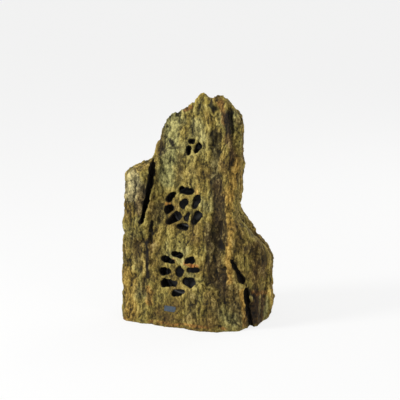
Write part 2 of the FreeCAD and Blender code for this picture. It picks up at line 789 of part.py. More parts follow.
def add_copies(label, outline, places):
    """One turned body copied to its places."""
    one = doc.addObject("PartDesign::Body", label + "_one")
    revolve(one, outline)
    copies = []
    for x, y, z in places:
        copy = doc.addObject("App::Link", label + "_copy")
        copy.LinkedObject = one
        move(copy, x, y, z)
        copies.append(copy)
    group = doc.addObject("Part::Compound", label)
    group.Links = copies
    nodes.append(group)
    return group


def add_screws(label, places, length, head, head_height):
    """Equal screws, tip at the bottom and head on top."""
    outline = [
        ("0", "0"),
        ("screw_radius", "2"),
        ("screw_radius", length),
        (head, length),
        (head, "%s + %s * 0.5" % (length, head_height)),
        (head + " * 0.7", "%s + %s" % (length, head_height)),
        ("0", "%s + %s" % (length, head_height)),
    ]
    return add_copies(label, outline, places)


# Woofers

FLANGE = "board_thickness + gasket_thickness"
NECK = FLANGE + " + basket_depth + woofer_gauge"
PLATE_BORE = "former_radius + winding_gauge + gap_clearance"
POLE = "former_radius - former_gauge - gap_clearance"


def ring_screws(label, ring, seat):
    """Four screws on a ring, heads behind a flange, tips forward in the board."""
    half = "%s * 0.7071" % ring
    signs = ("", "- ")
    places = [(x + half, y + half, "%s - screw_length" % seat) for x in signs for y in signs]
    return add_screws(label, places, "screw_length", "screw_head", "screw_head_height")


def add_woofer(name):
    up = name + "_up"
    basket = new_body(name + "_basket")
    revolve(basket, [
        ("woofer_radius", FLANGE),
        ("woofer_radius", FLANGE + " + woofer_gauge"),
        ("woofer_opening - 3", FLANGE + " + woofer_gauge"),
        ("shelf_outer + 2 * woofer_gauge", FLANGE + " + shelf_depth + woofer_gauge"),
        ("shelf_inner + woofer_gauge", FLANGE + " + shelf_depth + woofer_gauge"),
        ("basket_neck + woofer_gauge", NECK),
        ("basket_mouth", NECK),
        ("basket_mouth", NECK + " - woofer_gauge"),
        ("basket_neck", NECK + " - woofer_gauge"),
        ("shelf_inner", FLANGE + " + shelf_depth"),
        ("shelf_outer", FLANGE + " + shelf_depth"),
        ("woofer_opening - 5", FLANGE),
    ])
    window = new_sketch(basket, "XY_Plane")
    add_outline(window, [
        ("shelf_outer + 3 * woofer_gauge", "2"),
        ("woofer_opening - 7", "2"),
        ("( woofer_opening - 7 ) * 0.78", "( woofer_opening - 7 ) * 0.6"),
        ("( shelf_outer + 3 * woofer_gauge ) * 0.78", "( shelf_outer + 3 * woofer_gauge ) * 0.6"),
    ])
    around(basket, pocket(basket, window), 8)
    drill_ring(basket, "woofer_screw_ring", "screw_radius + screw_clearance", 4)
    top_plate = new_body(name + "_top_plate")
    revolve(top_plate, [
        (PLATE_BORE, NECK),
        ("plate_radius", NECK),
        ("plate_radius", NECK + " + plate_thickness"),
        (PLATE_BORE, NECK + " + plate_thickness"),
    ])
    magnet = new_body(name + "_magnet")
    revolve(magnet, [
        ("magnet_bore", NECK + " + plate_thickness"),
        ("magnet_radius", NECK + " + plate_thickness"),
        ("magnet_radius", NECK + " + plate_thickness + magnet_thickness"),
        ("magnet_bore", NECK + " + plate_thickness + magnet_thickness"),
    ])
    yoke = new_body(name + "_yoke")
    revolve(yoke, [
        ("vent_radius", NECK),
        (POLE, NECK),
        (POLE, NECK + " + plate_thickness + magnet_thickness"),
        ("plate_radius", NECK + " + plate_thickness + magnet_thickness"),
        ("plate_radius", NECK + " + 2 * plate_thickness + magnet_thickness"),
        ("vent_radius", NECK + " + 2 * plate_thickness + magnet_thickness"),
    ])
    cone = new_body(name + "_cone")
    revolve(cone, [
        ("former_radius", FLANGE + " + cone_depth"),
        ("cone_rim - cone_lip", FLANGE),
        ("cone_rim", FLANGE),
        ("cone_rim", FLANGE + " + cone_thickness"),
        ("cone_rim - cone_lip + 0.5", FLANGE + " + cone_thickness"),
        ("former_radius", FLANGE + " + cone_depth + 1.5 * cone_thickness"),
    ])
    slope = "cone_depth / ( cone_rim - cone_lip - former_radius )"
    cap_depth = FLANGE + " + cone_depth - ( cap_radius - former_radius ) * " + slope
    dust_cap = hollow_cap(name + "_dust_cap", "cap_radius", "cap_height", "cap_thickness", cap_depth)
    coil = new_body(name + "_voice_coil")
    former_start = FLANGE + " + cone_depth - cone_thickness"
    former_end = former_start + " + former_length"
    revolve(coil, [
        ("former_radius - former_gauge", former_start),
        ("former_radius", former_start),
        ("former_radius", former_end + " - winding_length - 1"),
        ("former_radius + winding_gauge", former_end + " - winding_length - 1"),
        ("former_radius + winding_gauge", former_end + " - 1"),
        ("former_radius", former_end + " - 1"),
        ("former_radius", former_end),
        ("former_radius - former_gauge", former_end),
    ])
    spider = new_body(name + "_spider")
    waves = [("former_radius", "0"), ("former_radius + 3", "0")]
    for step, rise in enumerate(("-1.6", "1.6", "-1.6", "1.6", "-1.6")):
        waves.append(("former_radius + %.1f" % (5 + 3.6 * step), rise))
    waves += [("shelf_inner + 0.3", "0"), ("shelf_outer - 0.5", "0")]
    level_line = FLANGE + " + shelf_depth"
    front = [(radius, level_line + " - skin_thickness + ( %s )" % rise) for radius, rise in waves]
    back = [(radius, level_line + " + ( %s )" % rise) for radius, rise in waves]
    revolve(spider, front + back[::-1])
    surround = roll_surround(name)
    gasket = new_body(name + "_gasket")
    revolve(gasket, [
        ("woofer_opening", "board_thickness"),
        ("woofer_radius", "board_thickness"),
        ("woofer_radius", FLANGE),
        ("woofer_opening", FLANGE),
    ])
    drill_ring(gasket, "woofer_screw_ring", "screw_radius + screw_clearance", 4)
    screws = ring_screws(name + "_screws", "woofer_screw_ring", FLANGE + " + woofer_gauge")
    pieces = (basket, top_plate, magnet, yoke, cone, dust_cap, coil, spider, surround, gasket, screws)
    for piece in pieces:
        seat_on_face(piece, "driver_line", up)


def roll_surround(name):
    """Half-roll between the cone's lip and the basket's flange, with a flat lip on either side."""
    rolls = []
    for part, gauge in (("outer", "0"), ("inner", "skin_thickness")):
        roll = doc.addObject("Part::Torus", "%s_roll_%s" % (name, part))
        roll.setExpression("Radius1", bound("cone_rim - 0.2 + roll_radius"))
        roll.setExpression("Radius2", bound("roll_radius - " + gauge))
        move(roll, "0", "0", FLANGE)
        rolls.append(roll)
    hollow = doc.addObject("Part::Cut", name + "_roll")
    hollow.Base, hollow.Tool = rolls
    front = doc.addObject("Part::Cylinder", name + "_roll_front")
    front.setExpression("Radius", bound("woofer_opening"))
    front.setExpression("Height", bound("2 * roll_radius"))
    move(front, "0", "0", FLANGE + " - 2 * roll_radius")
    half = doc.addObject("Part::Common", name + "_half_roll")
    half.Base, half.Tool = hollow, front
    parts = [half]
    for part, inner, outer in (
        ("cone_side", "cone_rim - cone_lip + 0.3", "cone_rim + 0.2"),
        ("frame_side", "cone_rim - 0.6 + 2 * roll_radius", "woofer_opening - 0.5"),
    ):
        discs = []
        for radius in (outer, inner):
            disc = doc.addObject("Part::Cylinder", "%s_%s_disc" % (name, part))
            disc.setExpression("Radius", bound(radius))
            disc.setExpression("Height", bound("skin_thickness"))
            move(disc, "0", "0", FLANGE + " - skin_thickness")
            discs.append(disc)
        lip = doc.addObject("Part::Cut", "%s_%s_lip" % (name, part))
        lip.Base, lip.Tool = discs
        parts.append(lip)
    surround = doc.addObject("Part::MultiFuse", name + "_surround")
    surround.Shapes = parts
    nodes.append(surround)
    return surround


for woofer in ("upper_woofer", "lower_woofer"):
    add_woofer(woofer)


# Tweeter

DOME_BASE = FLANGE + " + tweeter_flange"
TWEETER_PLATE = DOME_BASE + " + skin_thickness"
TWEETER_MAGNET = TWEETER_PLATE + " + tweeter_plate_depth"
TWEETER_YOKE = TWEETER_MAGNET + " + tweeter_magnet_depth"
COIL_OUTER = "dome_radius - 0.2"
COIL_INNER = "dome_radius - 0.2 - former_gauge"


def add_ring(label, inner, outer, low, high):
    body = new_body(label)
    revolve(body, [(inner, low), (outer, low), (outer, high), (inner, high)])
    return body


def add_tweeter():
    faceplate = new_body("tweeter_faceplate")
    revolve(faceplate, [
        ("dome_radius + 9", FLANGE),
        ("tweeter_radius", FLANGE),
        ("tweeter_radius", DOME_BASE),
        ("dome_radius + 2", DOME_BASE),
    ])
    drill_ring(faceplate, "tweeter_screw_ring", "screw_radius + screw_clearance", 4)
    gasket = add_ring("tweeter_gasket", "tweeter_opening", "tweeter_radius", "board_thickness", FLANGE)
    drill_ring(gasket, "tweeter_screw_ring", "screw_radius + screw_clearance", 4)
    dome = hollow_cap("tweeter_dome", "dome_radius", "dome_height", "dome_thickness", DOME_BASE)
    inner, outer = "dome_radius - 1", "dome_radius + 6"
    suspension = add_ring("tweeter_suspension", inner, outer, DOME_BASE, TWEETER_PLATE)
    coil = add_ring("tweeter_voice_coil", COIL_INNER, COIL_OUTER, TWEETER_PLATE, TWEETER_MAGNET)
    top_plate = add_ring(
        "tweeter_top_plate", COIL_OUTER + " + gap_clearance", "tweeter_magnet", TWEETER_PLATE, TWEETER_MAGNET)
    magnet = add_ring(
        "tweeter_magnet_ring", "dome_radius + 3", "tweeter_magnet", TWEETER_MAGNET, TWEETER_YOKE)
    yoke = new_body("tweeter_yoke")
    revolve(yoke, [
        ("0", TWEETER_PLATE),
        (COIL_INNER + " - gap_clearance", TWEETER_PLATE),
        (COIL_INNER + " - gap_clearance", TWEETER_YOKE),
        ("tweeter_magnet", TWEETER_YOKE),
        ("tweeter_magnet", TWEETER_YOKE + " + tweeter_plate_depth"),
        ("0", TWEETER_YOKE + " + tweeter_plate_depth"),
    ])
    screws = ring_screws("tweeter_screws", "tweeter_screw_ring", DOME_BASE)
    for piece in (faceplate, gasket, dome, suspension, coil, top_plate, magnet, yoke, screws):
        seat_on_face(piece, "driver_line", "tweeter_up")


add_tweeter()

# Baffle board, drawn from its upper left corner


def rectangle(left, low, right, high):
    return [(left, low), (right, low), (right, high), (left, high)]


def add_board():
    board = new_body("baffle_board")
    sketch = new_sketch(board, "XY_Plane")
    add_outline(sketch, rectangle("0", "0", "2 * board_half_width", "board_high - board_low"))
    for driver, opening, ring in (
        ("upper_woofer", "woofer_opening", "woofer_screw_ring"),
        ("lower_woofer", "woofer_opening", "woofer_screw_ring"),
        ("tweeter", "tweeter_opening", "tweeter_screw_ring"),
    ):
        down = "board_high - %s_up" % driver
        add_circle(sketch, "board_half_width", down, opening)
        for x in "+-":
            for y in "+-":
                place = "board_half_width %s %s * 0.7071" % (x, ring)
                add_circle(sketch, place, "%s %s %s * 0.7071" % (down, y, ring), "screw_radius")
    rows = (
        "board_screw_inset",
        "board_high - ( upper_woofer_up + tweeter_up ) / 2",
        "board_high - ( lower_woofer_up + upper_woofer_up ) / 2",
        "board_high - board_low - board_screw_inset",
    )
    places = [(x, y) for x in ("board_screw_inset", "2 * board_half_width - board_screw_inset") for y in rows]
    for x, y in places:
        add_circle(sketch, x, y, "screw_radius + screw_clearance")
    pad(board, sketch, "board_thickness")
    ends = [(x, y, "board_thickness - board_screw_length") for x, y in places]
    screws = add_screws("board_screws", ends, "board_screw_length", "screw_head", "screw_head_height")
    for piece in (board, screws):
        seat_on_face(piece, "driver_line - board_half_width", "board_high")


add_board()

# Base plate with its gasket and screws, drawn from its front left corner


def add_base():
    far, near = "( base_length - base_lap ) / 2", "( base_width - base_lap ) / 2"
    places = []
    for along, across in ((1, SIDE_SCREWS), (END_SCREWS, 1)):
        for a in ("+", "-"):
            for b in ("+", "-"):
                x = "base_length / 2 %s %s * %s" % (a, far, along)
                places.append((x, "base_width / 2 %s %s * %s" % (b, near, across)))
    plate = new_body("base_plate")
    gasket = new_body("base_gasket")
    for body, thickness in ((plate, "base_thickness"), (gasket, "gasket_thickness")):
        sketch = new_sketch(body, "XY_Plane")
        add_outline(sketch, rectangle("0", "0", "base_length", "base_width"))
        block = pad(body, sketch, thickness)
        round_upright_edges(body, block, "base_corner")
        holes = new_sketch(body, "XY_Plane")
        for x, y in places:
            add_circle(holes, x, y, "screw_radius + screw_clearance")
        if body is gasket:
            inner = rectangle("base_lap", "base_lap", "base_length - base_lap", "base_width - base_lap")
            add_outline(holes, inner)
        pocket(body, holes)
        move(body, "base_across - base_length / 2", "base_along - base_width / 2", "0")
    gasket.setExpression("Placement.Base.z", bound("base_thickness"))
    sinks = new_sketch(plate, "XY_Plane")
    for x, y in places:
        add_circle(sinks, x, y, "screw_head + screw_clearance")
    sunk = plate.newObject("PartDesign::Pocket", "base_plate_sinks")
    sunk.Profile = sinks
    sunk.Reversed = True
    sunk.setExpression("Length", bound("base_screw_sink"))
    plate.Tip = sunk
    pilots = new_sketch(plate, "XY_Plane")
    pilots.setExpression("AttachmentOffset.Base.z", bound("base_thickness"))
    for side in ("+", "-"):
        x = "base_length / 2 %s ( core_length + strap_foot ) / 2" % side
        add_circle(pilots, x, "base_width / 2 + transformer_along", "screw_radius")
    drilled = plate.newObject("PartDesign::Pocket", "base_plate_pilots")
    drilled.Profile = pilots
    drilled.setExpression("Length", bound("small_screw_length"))
    plate.Tip = drilled
    ends = [(x, y, "0") for x, y in places]
    screws = add_screws("base_screws", ends, "base_screw_length", "screw_head", "screw_head_height")
    screws.Placement = Placement(Vector(), Rotation(Vector(1, 0, 0), 180))
    lift = "base_screw_sink + base_screw_length"
    move(screws, "base_across - base_length / 2", "base_along + base_width / 2", lift)
    return plate


base_plate = add_base()

# Bare badge plate in its recess


def add_badge():
    badge = new_body("badge_plate")
    sketch = new_sketch(badge, "XY_Plane")
    add_outline(sketch, rectangle("0", "0", "badge_length", "badge_width"))
    block = pad(badge, sketch, "badge_thickness")
    round_upright_edges(badge, block, "badge_corner")
    across = "badge_across - badge_length / 2"
    seat_on_face(badge, across, "badge_up + badge_width / 2", "badge_sink - badge_thickness")


add_badge()

# Cable gland through the lower back wall, drawn from the outer face of the wall


def add_hexagon(label, low, high):
    prism = doc.addObject("Part::Prism", label)
    prism.Polygon = 6
    prism.setExpression("Circumradius", bound("gland_flats / 1.732"))
    prism.setExpression("Height", bound("( %s ) - ( %s )" % (high, low)))
    move(prism, "0", "0", low)
    return prism


def add_cylinder(label, radius, low, high):
    cylinder = doc.addObject("Part::Cylinder", label)
    cylinder.setExpression("Radius", bound(radius))
    cylinder.setExpression("Height", bound("( %s ) - ( %s )" % (high, low)))
    move(cylinder, "0", "0", low)
    return cylinder


def cut_node(label, base, tool):
    cut = doc.addObject("Part::Cut", label)
    cut.Base, cut.Tool = base, tool
    nodes.append(cut)
    return cut


def add_gland():
    inner_end = "- gland_web - 2 * gland_nut_length"
    neck_end = "gland_flange + gland_neck"
    shank = doc.addObject("Part::MultiFuse", "gland_shank")
    shank.Shapes = [
        add_hexagon("gland_hexagon", "0", "gland_flange"),
        add_cylinder("gland_stem", "gland_thread", inner_end, neck_end),
    ]
    bore = add_cylinder("gland_body_bore", "gland_bore", inner_end, neck_end)
    body = cut_node("gland_body", shank, bore)
    nut_start = "- gland_web - gland_nut_length"
    nut_bore = add_cylinder("gland_nut_bore", "gland_thread", nut_start, "- gland_web")
    nut = cut_node("gland_nut", add_hexagon("gland_nut_hexagon", nut_start, "- gland_web"), nut_bore)
    seal_end = neck_end + " + gland_seal_length"
    seal = add_ring("gland_seal", "gland_seal_bore", "gland_thread", neck_end, seal_end)
    cap = new_body("gland_cap")
    cap_end = "gland_flange + gland_cap_length"
    revolve(cap, [
        ("gland_thread", "gland_flange + 0.5"),
        ("gland_flats / 2", "gland_flange + 0.5"),
        ("gland_flats / 2", cap_end + " - 5"),
        ("gland_flats / 2 - 3", cap_end),
        ("gland_bore", cap_end),
        ("gland_bore", seal_end),
        ("gland_thread", seal_end),
    ])
    for piece in (body, nut, seal, cap):
        piece.Placement = Placement(Vector(), Rotation(Vector(1, 0, 0), -90))
        y = "spur_back_reach - tan( spur_back_lean ) * gland_up - gland_sink"
        move(piece, "gland_across", y, "gland_up")


add_gland()

# Crossover and line transformer on the base plate


def add_crossover():
    places = []
    for x in ("standoff_inset", "crossover_length - standoff_inset"):
        for y in ("standoff_inset", "crossover_width - standoff_inset"):
            places.append((x, y))
    posts = [("screw_radius", "0"), ("standoff_radius", "0"), ("standoff_radius", "standoff_height"),
             ("screw_radius", "standoff_height")]
    standoffs = add_copies("crossover_standoffs", posts, [(x, y, "0") for x, y in places])
    board = new_body("crossover_board")
    sketch = new_sketch(board, "XY_Plane")
    add_outline(sketch, rectangle("0", "0", "crossover_length", "crossover_width"))
    for x, y in places:
        add_circle(sketch, x, y, "screw_radius + screw_clearance")
    pad(board, sketch, "crossover_gauge")
    top = "standoff_height + crossover_gauge"
    ends = [(x, y, top + " - small_screw_length") for x, y in places]
    screws = add_screws("crossover_screws", ends, "small_screw_length", "screw_head", "screw_head_height")
    coil = add_ring("woofer_inductor", "coil_bore", "coil_radius", "0", "coil_length")
    small_coil = add_ring("tweeter_inductor", "coil_bore / 2", "small_coil_radius", "0", "small_coil_length")
    capacitor = doc.addObject("Part::Cylinder", "woofer_capacitor")
    small_capacitor = doc.addObject("Part::Cylinder", "tweeter_capacitor")
    for can, name in ((capacitor, "capacitor"), (small_capacitor, "small_capacitor")):
        can.setExpression("Radius", bound(name + "_radius"))
        can.setExpression("Height", bound(name + "_length"))
        can.Placement = Placement(Vector(), Rotation(Vector(0, 1, 0), 90))
        nodes.append(can)
    resistor = add_box("resistor", "resistor_length", "resistor_width", "resistor_width")
    surface = "base_thickness + " + top
    beside_coil = "2 * coil_radius + coil_edge + 2 * part_gap"
    second_row = "crossover_width - 2 * capacitor_radius - part_gap"
    third_row = second_row + " - 2 * small_capacitor_radius - part_gap"
    for piece, x, y, z in (
        (standoffs, "0", "0", "base_thickness"),
        (board, "0", "0", "base_thickness + standoff_height"),
        (screws, "0", "0", "base_thickness"),
        (coil, "coil_radius + coil_edge", "coil_radius + coil_edge", surface),
        (small_coil, "crossover_length - small_coil_radius - coil_edge",
         third_row + " - small_coil_radius - part_gap", surface),
        (
            capacitor,
            beside_coil,
            "crossover_width - capacitor_radius - part_gap",
            surface + " + capacitor_radius",
        ),
        (small_capacitor, beside_coil, second_row + " - small_capacitor_radius - part_gap",
         surface + " + small_capacitor_radius"),
        (resistor, "coil_edge", "crossover_width - resistor_width - part_gap", surface),
    ):
        move(piece, "base_across - crossover_length / 2 + " + x, "base_along + crossover_along + " + y, z)


def add_transformer():
    core = new_body("transformer_core")
    sketch = new_sketch(core, "XZ_Plane")
    add_outline(sketch, rectangle("0", "0", "core_length", "core_height"))
    slot = "( core_length - 4 * core_limb ) / 2"
    top = "core_limb + core_window"
    add_outline(sketch, rectangle("core_limb", "core_limb", "core_limb + " + slot, top))
    add_outline(sketch, rectangle("3 * core_limb + " + slot, "core_limb", "core_length - core_limb", top))
    pad(core, sketch, "core_stack").Midplane = True
    winding = new_body("transformer_winding")
    sketch = new_sketch(winding, "XY_Plane")
    depth = "core_stack + 2 * winding_overhang"
    left, right = "core_limb + winding_play", "core_length - core_limb - winding_play"
    add_outline(sketch, rectangle(left, "0", right, depth))
    add_outline(sketch, rectangle(
        "core_limb + %s - winding_play" % slot, "winding_overhang - winding_play",
        "3 * core_limb + %s + winding_play" % slot, "winding_overhang + core_stack + winding_play"))
    pad(winding, sketch, "core_window - 2 * winding_play")
    strap = new_body("transformer_strap")
    sketch = new_sketch(strap, "XZ_Plane")
    far = "strap_foot + core_length"
    add_outline(sketch, [
        ("0", "0"), ("strap_foot", "0"), ("strap_foot", "core_height"), (far, "core_height"), (far, "0"),
        (far + " + strap_foot", "0"), (far + " + strap_foot", "strap_gauge"),
        (far + " + strap_gauge", "strap_gauge"), (far + " + strap_gauge", "core_height + strap_gauge"),
        ("strap_foot - strap_gauge", "core_height + strap_gauge"),
        ("strap_foot - strap_gauge", "strap_gauge"), ("0", "strap_gauge"),
    ])
    pad(strap, sketch, "strap_width").Midplane = True
    feet = ("strap_foot / 2", far + " + strap_foot / 2")
    holes = new_sketch(strap, "XY_Plane")
    for x in feet:
        add_circle(holes, x, "0", "screw_radius + screw_clearance")
    pocket(strap, holes)
    ends = [(x, "0", "strap_gauge - small_screw_length") for x in feet]
    screws = add_screws("transformer_screws", ends, "small_screw_length", "screw_head", "screw_head_height")
    left = "base_across - core_length / 2"
    along = "base_along + transformer_along"
    move(core, left, along, "base_thickness")
    front = along + " - core_stack / 2 - winding_overhang"
    move(winding, left, front, "base_thickness + core_limb + winding_play")
    for piece in (strap, screws):
        move(piece, left + " - strap_foot", along, "base_thickness")


add_crossover()
add_transformer()

os.makedirs("parts", exist_ok=True)
doc.recompute()
for node in nodes:
    if {"Invalid", "Error"} & set(node.State) or node.Shape.isNull() or not node.Shape.isValid():
        raise RuntimeError("%s did not build" % node.Label)
    node.Shape.exportStep("parts/%s.step" % node.Label)
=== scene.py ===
import json
import math

import bmesh
import bpy
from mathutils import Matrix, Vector
from mathutils.bvhtree import BVHTree


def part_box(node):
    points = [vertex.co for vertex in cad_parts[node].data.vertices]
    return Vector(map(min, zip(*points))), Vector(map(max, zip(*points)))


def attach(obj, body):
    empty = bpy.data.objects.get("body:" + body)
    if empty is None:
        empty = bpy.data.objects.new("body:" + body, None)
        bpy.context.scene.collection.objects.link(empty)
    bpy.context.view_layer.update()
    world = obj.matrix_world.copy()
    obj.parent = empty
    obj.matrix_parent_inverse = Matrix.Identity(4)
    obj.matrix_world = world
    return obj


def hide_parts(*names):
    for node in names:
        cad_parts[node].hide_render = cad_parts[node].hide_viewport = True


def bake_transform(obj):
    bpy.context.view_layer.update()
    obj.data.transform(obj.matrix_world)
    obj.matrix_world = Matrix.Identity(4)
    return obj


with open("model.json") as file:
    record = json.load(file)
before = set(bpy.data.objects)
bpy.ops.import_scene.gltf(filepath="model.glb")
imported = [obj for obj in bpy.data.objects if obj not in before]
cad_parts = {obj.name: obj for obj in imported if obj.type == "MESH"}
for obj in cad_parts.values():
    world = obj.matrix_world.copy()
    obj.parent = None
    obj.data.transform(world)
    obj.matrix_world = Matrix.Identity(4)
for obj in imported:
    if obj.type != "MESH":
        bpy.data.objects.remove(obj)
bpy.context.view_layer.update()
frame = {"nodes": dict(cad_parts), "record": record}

NODES = frame["nodes"]
MM = 0.001
PER_MM = 1000.0

# The camera stands to the right of the sound holes and a little above them, behind a long lens.
CAMERA_AZIMUTH = math.radians(30.0)
CAMERA_ELEVATION = math.radians(12.0)
CAMERA_DISTANCE = 6.0
PICTURE_WIDTH = 1.04
PICTURE_CENTRE_ACROSS = -0.0247
PICTURE_CENTRE_UP = 0.0206
AIM = Vector((0.0, 0.0, 0.29))
VIEW_RIGHT = Vector((math.cos(CAMERA_AZIMUTH), math.sin(CAMERA_AZIMUTH), 0.0))
VIEW_BACK = Vector((
    math.sin(CAMERA_AZIMUTH) * math.cos(CAMERA_ELEVATION),
    -math.cos(CAMERA_AZIMUTH) * math.cos(CAMERA_ELEVATION),
    math.sin(CAMERA_ELEVATION),
))
VIEW_UP = VIEW_BACK.cross(VIEW_RIGHT)
PICTURE_CENTRE = AIM + VIEW_RIGHT * PICTURE_CENTRE_ACROSS + VIEW_UP * PICTURE_CENTRE_UP
EYE = PICTURE_CENTRE + VIEW_BACK * CAMERA_DISTANCE

# Corners closer than this are one point.
SAME_POINT = 0.001 * MM
# Nearly all values of a noise lie between these.
NOISE_LOW = 0.3
NOISE_HIGH = 0.7
# Resin, rubber, lacquer and nylon all bend light about this much.
RESIN_IOR = 1.5


def linear(hex_colour):
    """sRGB hex value as the linear colour that Blender's sockets take."""
    channels = [int(hex_colour[i:i + 2], 16) / 255 for i in (1, 3, 5)]
    return [c / 12.92 if c <= 0.04045 else ((c + 0.055) / 1.055) ** 2.4 for c in channels] + [1.0]


def fill(tree, node, sockets):
    """Sets inputs, by name or number, to a value, or links them to another node or to one of its outputs."""
    for name, value in sockets.items():
        if isinstance(value, bpy.types.Node):
            value = next(output for output in value.outputs if output.enabled)
        if isinstance(value, bpy.types.NodeSocket):
            tree.links.new(value, node.inputs[name])
        else:
            node.inputs[name].default_value = value


def add(tree, kind, sockets=None, **settings):
    """Adds a node with its settings, and fills its inputs.

    A Mix of colours takes its share in input 0 and the two colours in inputs 6 and 7.
    """
    node = tree.nodes.new(kind)
    for name, value in settings.items():
        setattr(node, name, value)
    fill(tree, node, sockets or {})
    return node


def repeats(across, along):
    """How many marks of this size in mm there are to each mm, in x and y and along the upright grain."""
    return (1 / across, 1 / across, 1 / along)


def new_material(name):
    """A material with its node tree and its shader."""
    material = bpy.data.materials.new(name)
    material.use_nodes = True
    return material, material.node_tree, material.node_tree.nodes["Principled BSDF"]


# Marks of the paint in mm: flakes that catch the dry brush and runs of the wash, across and along the grain,
# then pools of the wash, grit, and patches that the weather has bleached.
FLAKE = (4.5, 7.0)
FLAKE_SLANT = (math.radians(8), math.radians(20), 0.0)
RUN = (15.0, 28.0)
POOL = 42.0
GRIT = 2.2
PATCH = 95.0

# Over a hand's breadth the stain turns from umber through ochre to a lichen grey-green: where on the patches'
# noise a turn starts and ends, and to what colour.
UMBER = "#574320"
STAIN_TURNS = (
    (0.34, 0.46, "#74622c"),
    (0.46, 0.56, "#7c6e34"),
    (0.56, 0.68, "#7a7345"),
)

# Sums of the layers of tone at which the stone is darkest and palest, and the curve of its light in between.
DARKEST_TONE = 1.89
PALEST_TONE = 2.99
LIGHT_CURVE = ((0.0, 0.02), (0.25, 0.14), (0.5, 0.37), (0.75, 0.68), (1.0, 1.0))
# How much lighter than its stain the stone is on its palest flakes.
FLAKE_LIGHT = 2.7
# Straw-coloured paint is caught on flakes paler than this tone, up to this share. None lies where the stain
# is as dark as the painted shade of a crack, and it holds fully where the stain is as light as the darker
# strokes of wash and painted shade.
STRAW = "#d4c382"
CAUGHT_ABOVE = 0.66
CAUGHT_MOST = 0.35
CRACK_LIGHTNESS = 0.008
DARK_STROKE_LIGHTNESS = 0.035
# Painted shade: where little sky is seen the colour is darkened almost to black, in crevices and on the
# holes' walls: share of the sky up to which it is darkest, share from which there is none, and how much of
# the paint it hides.
SHADE_BLACK = "#100c08"
SHADE_DARKEST_BELOW = 0.4
SHADE_GONE_ABOVE = 0.8
SHADE_MOST = 0.97
# Depth of the pores in mm. The casting is matt all over, a little more or less so with the grit.
PORE_DEPTH = 1.5
LEAST_MATT = 0.72
MOST_MATT = 0.95

# Strokes fray by up to half this span in mm, in x, y and z. Strokes of this reach in mm or less were drawn
# with a fine brush, and fray by only this share of it.
FRAY = Vector((44, 44, 70))
FINE_BRUSH = 9
FINE_FRAY = 0.2
